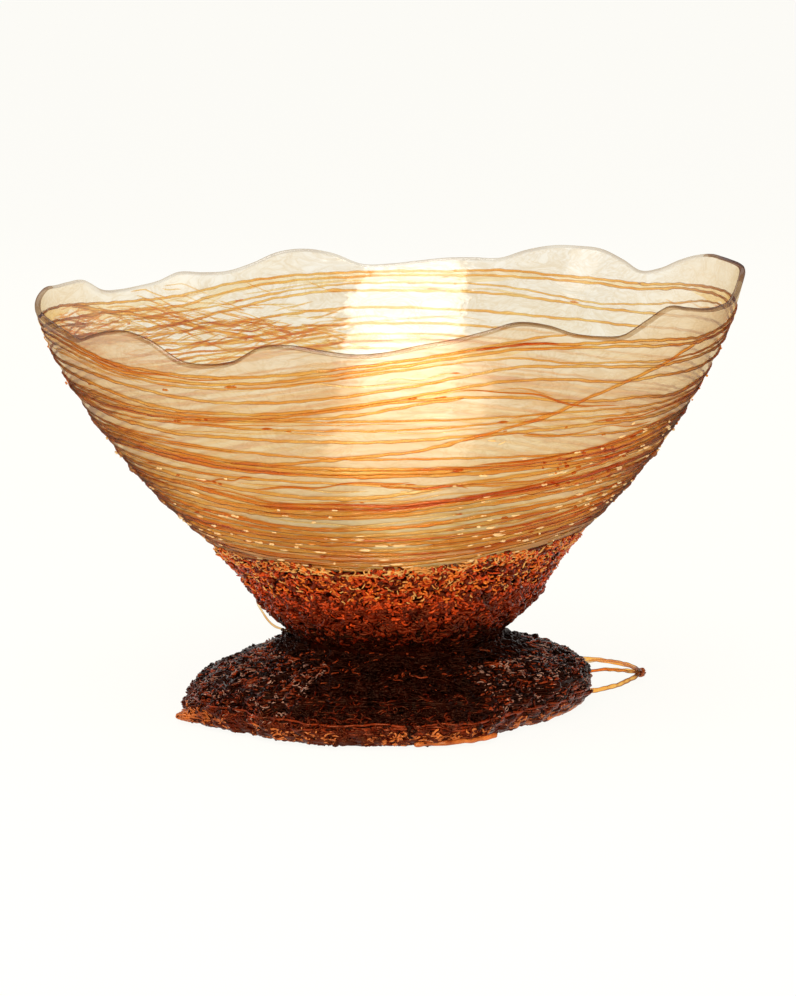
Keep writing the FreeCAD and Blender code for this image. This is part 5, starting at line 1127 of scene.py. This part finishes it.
nest("cup_dark_a", surface_cup, 1900, 41, (0.45, 1.0), 68.0, CUP_DARK, radius=(0.45, 0.8), curl=0.9)
nest("cup_dark_b", surface_cup, 1800, 42, (0.18, 0.60), 68.0, CUP_DARK, radius=(0.45, 0.8), curl=0.9)
nest("cup_red_a", surface_cup, 2500, 51, (0.52, 1.0), 68.0, CUP_RED, swell=(-0.1, 1.8), flick=1.2, steps=6,
     step=0.9, radius=(0.42, 0.78), curl=1.3)
nest("cup_red_b", surface_cup, 1200, 52, (0.36, 0.64), 68.0, CUP_RED, swell=(-0.3, 1.5), flick=1.2, steps=6,
     step=0.9, radius=(0.40, 0.72), curl=1.3, power=0.7)
nest("cup_orange_a", surface_cup, 1400, 60, (0.56, 1.0), 68.0, CUP_ORANGE, swell=(0.4, 2.0), power=0.6, steps=6,
     step=0.85, radius=(0.36, 0.64), curl=1.4, flick=1.0)
# painted highlights: bright gold strands lifted over the cup's upper tangle stand in for its small glints
nest("cup_painted_highlight_a", surface_cup, 560, 53, (0.58, 1.0), 68.0, CUP_PAINTED_HIGHLIGHT, swell=(0.9, 2.1), power=0.6, steps=5,
     step=0.8, radius=(0.30, 0.50))
nest("cup_painted_highlight_top", surface_cup, 440, 54, (0.93, 1.0), 68.0, CUP_PAINTED_HIGHLIGHT, swell=(0.4, 1.9), steps=8, flatness=0.3,
     radius=(0.28, 0.5))
nest("cup_knots", surface_cup, 190, 62, (0.25, 0.92), 68.0, CUP_DARK, swell=(0.8, 2.2), steps=8, step=1.0,
     radius=(0.8, 1.3), curl=2.2)
nest("neck_dark_a", surface_cup, 2200, 43, (0.0, 0.30), 68.0, NECK_DARK, radius=(0.42, 0.72), curl=0.9)
nest("neck_red_a", surface_cup, 900, 55, (0.10, 0.42), 68.0, NECK_RED, swell=(0.0, 1.6), power=0.6, steps=6,
     radius=(0.36, 0.62), curl=1.3)
nest("foot_dark_top", surface_foot, 2200, 44, (0.55, 1.0), 90.0, FOOT_DARK, radius=(0.42, 0.72), floor=0.2)
nest("foot_dark_middle", surface_foot, 2400, 45, (0.28, 0.62), 90.0, FOOT_DARK, radius=(0.42, 0.72), floor=0.2)
nest("foot_dark_side", surface_foot, 2400, 46, (0.06, 0.32), 90.0, FOOT_DARK, radius=(0.42, 0.72), floor=0.2)
nest("foot_red_a", surface_foot, 1500, 56, (0.08, 0.46), 90.0, EDGE_RED, swell=(0.0, 1.9), floor=0.2, flick=1.2,
     power=1.4, radius=(0.34, 0.6), flatness=0.25, curl=0.6)
nest("foot_red_b", surface_foot, 160, 57, (0.55, 1.0), 90.0, FOOT_RED, swell=(0.0, 1.5), floor=0.2,
     radius=(0.32, 0.55))
for name, count, seed, around in (("foot_red_left", 620, 63, (150, 238)), ("foot_red_right", 620, 64, (-58, 40)),
                                  ("foot_red_back", 500, 65, (40, 150))):
    nest(name, surface_foot, count, seed, (0.12, 0.80), 90.0, FOOT_RED, swell=(0.2, 1.9), floor=0.2,
         around=around, steps=6, step=0.9, radius=(0.36, 0.66), curl=1.4)
# painted highlights: lighter strands on the foot's sides stand in for the grey glints of reflected light there
for name, count, seed, around in (("foot_painted_highlight_left", 330, 58, (165, 240)), ("foot_painted_highlight_right", 330, 59, (-55, 25)),
                                  ("foot_painted_highlight_back", 300, 61, (25, 165))):
    nest(name, surface_foot, count, seed, (0.15, 0.78), 90.0, FOOT_PAINTED_HIGHLIGHT, swell=(0.6, 2.0), floor=0.2,
         around=around, steps=6, step=0.9, radius=(0.26, 0.44), curl=1.4)
nest("foot_knots", surface_foot, 190, 66, (0.04, 0.70), 90.0, FOOT_DARK, swell=(0.8, 2.4), steps=8, step=1.0,
     radius=(0.8, 1.35), curl=2.2, floor=0.2)
nest("edge_red_a", surface_foot, 2300, 47, (0.0, 0.15), 90.0, EDGE_RED, flatness=0.45, steps=9, floor=0.2,
     swell=(0.0, 2.3), flick=1.5, radius=(0.4, 0.72), curl=0.9)
for name, count, seed, around in (("edge_orange_left", 150, 48, (192, 216)), ("edge_orange_low", 70, 67, (228, 254)),
                                  ("edge_orange_front", 130, 68, (266, 304)), ("edge_orange_right", 150, 69, (-48, -16)),
                                  ("edge_orange_back", 160, 70, (20, 180))):
    nest(name, surface_foot, count, seed, (0.0, 0.10), 90.0, EDGE_PALE, flatness=0.3, steps=8, floor=0.2,
         swell=(0.8, 2.6), flick=1.5, radius=(0.34, 0.62), around=around)


def coil_strands(name, node, level, count, seed, material):
    """The long threads that run right round the foot: a loose bundle of fine strands."""
    rng = np.random.default_rng(seed)
    deg = np.linspace(0, 358, 420)
    paths, sizes = [], []
    for _ in range(count):
        start = rng.uniform(0, 360)
        s = level + rng.normal(0, 0.022) + ripple(deg, rng, [120.0, 51.0, 23.0], 0.016)
        p = surface_foot(np.clip(s, 0.0, 1.0), deg + start)
        out = p.copy()
        out[:, 2] = 30.0
        out /= np.linalg.norm(out, axis=1)[:, None]
        size = rng.uniform(0.42, 0.72) * (1 + ripple(deg, rng, [19.0, 7.0], 0.12))
        p = p + out * (rng.uniform(0.6, 1.9) + ripple(deg, rng, [31.0, 13.0], 0.35))[:, None]
        p[:, 2] = np.maximum(p[:, 2], size + 0.2)
        paths.append(p)
        sizes.append(size)
    verts, faces, _ = tubes(np.array(paths), np.array(sizes), np.array(sizes), 6)
    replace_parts(mesh_object(name, verts, faces, material), node)


coil_strands("coil_strands_low", "foot_coil_low", 0.035, 6, 71, EDGE_RED)
coil_strands("coil_strands_middle", "foot_coil_middle", 0.17, 6, 72, FOOT_RED)
coil_strands("coil_strands_high", "foot_coil_high", 0.37, 5, 73, FOOT_DARK)


def ring_surface(name, rings, material, seed, rough, closed_tube):
    """A closed lumpy body through rings of points (n, 3) mm."""
    rng = np.random.default_rng(seed)
    rings = np.asarray(rings, float)
    count, n, _ = rings.shape
    t = np.arange(n) * 360.0 / n
    for k in range(count):
        bumps = 1 + (ripple(t, rng, [24.0, 11.25, 5.0], rough) + rng.normal(0, rough * 0.6, n)) / 80.0
        rings[k, :, :2] *= bumps[:, None]
    verts = rings.reshape(-1, 3)
    j = np.arange(n)[None, :]
    j2 = (j + 1) % n
    if closed_tube:
        i = np.arange(count)[:, None] * n
        i2 = ((np.arange(count) + 1) % count)[:, None] * n
        faces = [np.stack([i + j, i + j2, i2 + j2, i2 + j], -1).reshape(-1, 4)]
    else:
        i = np.arange(count - 1)[:, None] * n
        faces = [np.stack([i + j, i + j2, i + n + j2, i + n + j], -1).reshape(-1, 4)]
        low, high = len(verts), len(verts) + 1
        verts = np.vstack([verts, rings[0].mean(0)[None], rings[-1].mean(0)[None]])
        top = (count - 1) * n
        one = np.arange(n)
        two = (one + 1) % n
        faces.append(np.stack([np.full(n, low), two, one], -1))
        faces.append(np.stack([np.full(n, high), top + one, top + two], -1))
    return mesh_object(name, verts, faces, material)


deg_core = np.arange(240) * 1.5
rings = []
for z in (0.3, 2.0, 5.0, 9.0, 13.0, 17.0, 21.0, 24.0, 27.0, 30.0, 33.0, 36.0, 39.5):
    r = foot_radius(min(z, 36.0), deg_core) - (5.5 if z < 1.0 else 3.4) - waist(z)
    rings.append(np.stack([r * np.cos(np.radians(deg_core)), r * np.sin(np.radians(deg_core)), z + 0 * r], -1))
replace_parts(ring_surface("foot_core", rings, CORE, 81, 0.8, False), "foot_nest")
rings = []
for z in np.arange(-1.5, 51.1, 3.5):
    r = np.interp(z, NEST_HEIGHT, NEST_OUTLINE) - 1.9 - waist(z + 36.5)
    rings.append(to_world(np.stack([r * np.cos(np.radians(deg_core)), r * np.sin(np.radians(deg_core)),
                                    z + 0 * deg_core], -1)))
for z in np.arange(51.0, -1.6, -3.5):
    r = float(skin_radius(max(z, 1.0))) - 0.3
    rings.append(to_world(np.stack([r * np.cos(np.radians(deg_core)), r * np.sin(np.radians(deg_core)),
                                    z + 0 * deg_core], -1)))
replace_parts(ring_surface("neck_core", rings, CORE, 82, 0.25, True), "neck_nest", "cup_nest_lower", "cup_nest_upper")
for node in ("neck_pad",):
    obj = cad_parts[node]
    obj.data.materials.clear()
    obj.data.materials.append(CORE)


def small_tangle(name, node, angle, half, count, sizes_mm, material, seed, shift=(0, 0, 0)):
    """Threads wound through a small flattened lump, laid along it. half: half its length, width and height."""
    rng = np.random.default_rng(seed)
    low, high = (np.array(c) * 1000 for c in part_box(node))
    middle = (low + high) / 2 + np.array(shift)
    along = np.array([math.cos(math.radians(angle)), math.sin(math.radians(angle)), 0.0])
    wide = np.array([-along[1], along[0], 0.0])
    paths, sizes = [], []
    s = np.linspace(-1, 1, 10)
    for _ in range(count):
        a, start = rng.uniform(-math.pi, math.pi), rng.uniform(-0.5, 0.5)
        t = np.clip(start + s * rng.uniform(0.2, 0.6), -1, 0.97)
        swell = np.sqrt(np.clip(1 - t * t, 0.02, 1))
        deep = rng.uniform(0.3, 1.0) ** 0.5
        turn = a + s * rng.uniform(-0.5, 0.5)
        p = (middle + along[None] * (t * half[0])[:, None]
             + wide[None] * (deep * np.cos(turn) * half[1] * swell)[:, None])
        p[:, 2] = middle[2] + deep * np.sin(turn) * half[2] * swell + rng.normal(0, 0.2, len(t))
        paths.append(p)
        sizes.append(rng.uniform(*sizes_mm) * np.ones(len(t)))
    pts, size = np.array(paths), np.array(sizes)
    pts[..., 2] = np.maximum(pts[..., 2], size + 0.2)
    verts, faces, _ = tubes(pts, size, size, 5)
    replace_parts(mesh_object(name, verts, faces, material), node)


small_tangle("leaf_threads", "foot_leaf", 200, (14.0, 9.5, 3.0), 260, (0.35, 0.65), EDGE_PALE, 91, (2.5, 0.5, 0.6))
small_tangle("knot_threads", "loop_knot", 65, (4.6, 2.4, 2.0), 46, (0.35, 0.6), EDGE_PALE, 92)

# ------------------------------------------------------------------ coils, loops and small pieces
def free_thread(label, points, gauge, material, seed, squash=1.0, sides=10):
    rng = np.random.default_rng(seed)
    curve = open_curve(points, 24 * len(points))
    step = np.linalg.norm(np.diff(curve, axis=0), axis=1)
    length = np.concatenate([[0], np.cumsum(step)])
    curve[1:-1] += np.stack([ripple(length, rng, [17, 9], 0.18) for _ in range(3)], -1)[1:-1]
    size = gauge / 2 * (1 + ripple(length, rng, [13.0, 7.0], 0.10))
    ends = np.minimum(length, length[-1] - length) / 1.5
    size = size * (0.55 + 0.45 * np.clip(ends, 0, 1) ** 0.5)
    curve[:, 2] = np.maximum(curve[:, 2], size + 0.1)
    verts, faces, _ = tubes(curve[None], size[None] * squash, size[None], sides)
    obj = mesh_object("glass_" + label, verts, faces, material)
    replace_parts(obj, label)


for number, (label, (gauge, points)) in enumerate(FOOT_THREADS.items()):
    gauge = {"loop_thread": 1.5, "loop_thread_heavy": 2.4}[gauge] * (0.75 if label == "neck_loop" else 1.0)
    pale = label in ("foot_loop_a", "neck_loop")
    material = PALE if pale else (EDGE_PALE if label in ("front_ribbon", "cut_thread_end") else THREAD_DEEP)
    free_thread(label, points[2:] if label == "front_ribbon" else points, gauge, material, 700 + number)

# ------------------------------------------------------------------ floor, light
def stage_material(name, colour, glow):
    m, nodes, links = new_material(name)
    out = nodes.new("ShaderNodeOutputMaterial")
    bsdf = nodes.new("ShaderNodeBsdfPrincipled")
    bsdf.inputs["Base Color"].default_value = (0.06, 0.059, 0.057, 1)
    bsdf.inputs["Roughness"].default_value = 0.9
    bsdf.inputs["Specular IOR Level"].default_value = 0.0
    bsdf.inputs["Emission Color"].default_value = (*colour, 1)
    bsdf.inputs["Emission Strength"].default_value = glow
    links.new(bsdf.outputs["BSDF"], out.inputs["Surface"])
    return m


WHITE = (0.965, 0.955, 0.913)
floor_mesh = bpy.data.meshes.new("floor")
floor_mesh.from_pydata([(-6, -6, -0.0005), (6, -6, -0.0005), (6, 6, -0.0005), (-6, 6, -0.0005)], [], [(0, 1, 2, 3)])
floor = bpy.data.objects.new("floor", floor_mesh)
scene.collection.objects.link(floor)
floor_mesh.materials.append(stage_material("floor_pale", WHITE, 0.985))

world = bpy.data.worlds.new("studio")
scene.world = world
world.use_nodes = True
nodes, links = world.node_tree.nodes, world.node_tree.links
nodes.clear()
w_out = nodes.new("ShaderNodeOutputWorld")
seen = nodes.new("ShaderNodeBackground")
seen.inputs["Color"].default_value = (*WHITE, 1)
lit = nodes.new("ShaderNodeBackground")
coord = nodes.new("ShaderNodeTexCoord")
split = nodes.new("ShaderNodeSeparateXYZ")
links.new(coord.outputs["Generated"], split.inputs["Vector"])
grad = ramp(nodes, [(0.0, (0.96, 0.94, 0.90)), (0.20, (0.85, 0.83, 0.79)), (0.60, (0.30, 0.29, 0.28))])
links.new(split.outputs["Z"], grad.inputs["Fac"])
links.new(grad.outputs["Color"], lit.inputs["Color"])
path = nodes.new("ShaderNodeLightPath")
pick = nodes.new("ShaderNodeMixShader")
links.new(path.outputs["Is Camera Ray"], pick.inputs["Fac"])
links.new(lit.outputs["Background"], pick.inputs[1])
links.new(seen.outputs["Background"], pick.inputs[2])
links.new(pick.outputs["Shader"], w_out.inputs["Surface"])


def softbox(name, place, aim, size, radiance, colour=(1, 1, 1)):
    data = bpy.data.lights.new(name, "AREA")
    data.shape = "RECTANGLE"
    data.size, data.size_y = size
    data.energy = radiance * math.pi * size[0] * size[1]
    data.color = colour
    obj = bpy.data.objects.new(name, data)
    scene.collection.objects.link(obj)
    obj.location = place
    obj.rotation_euler = (Vector(aim) - Vector(place)).to_track_quat("-Z", "Y").to_euler()
    return obj


softbox("key_softbox", (-0.20, -1.10, 1.30), (0, 0, 0.15), (1.1, 1.5), 4.2, (1.0, 0.98, 0.95))
softbox("top_softbox", (-0.20, -0.30, 1.90), (-0.04, -0.02, 0.1), (1.3, 1.3), 3.6, (1.0, 0.98, 0.95))
softbox("fill_softbox", (-0.10, -2.45, 0.28), (0, 0, 0.09), (1.8, 0.9), 6.5, (1.0, 0.96, 0.90))
softbox("left_strip", (-1.5, -0.3, 0.50), (0, 0, 0.05), (0.35, 1.1), 0.8)
softbox("right_strip", (1.5, -0.2, 0.50), (0, 0, 0.05), (0.35, 1.1), 0.5)
softbox("back_light", (0.0, 1.6, 1.0), (0, 0, 0.05), (1.6, 0.8), 1.2)

scene.view_settings.view_transform = "Standard"
scene.view_settings.look = "None"
scene.cycles.max_bounces = 20
scene.cycles.transmission_bounces = 18
scene.cycles.transparent_max_bounces = 96
scene.cycles.glossy_bounces = 4
scene.cycles.diffuse_bounces = 2
scene.cycles.caustics_reflective = False
scene.cycles.caustics_refractive = False
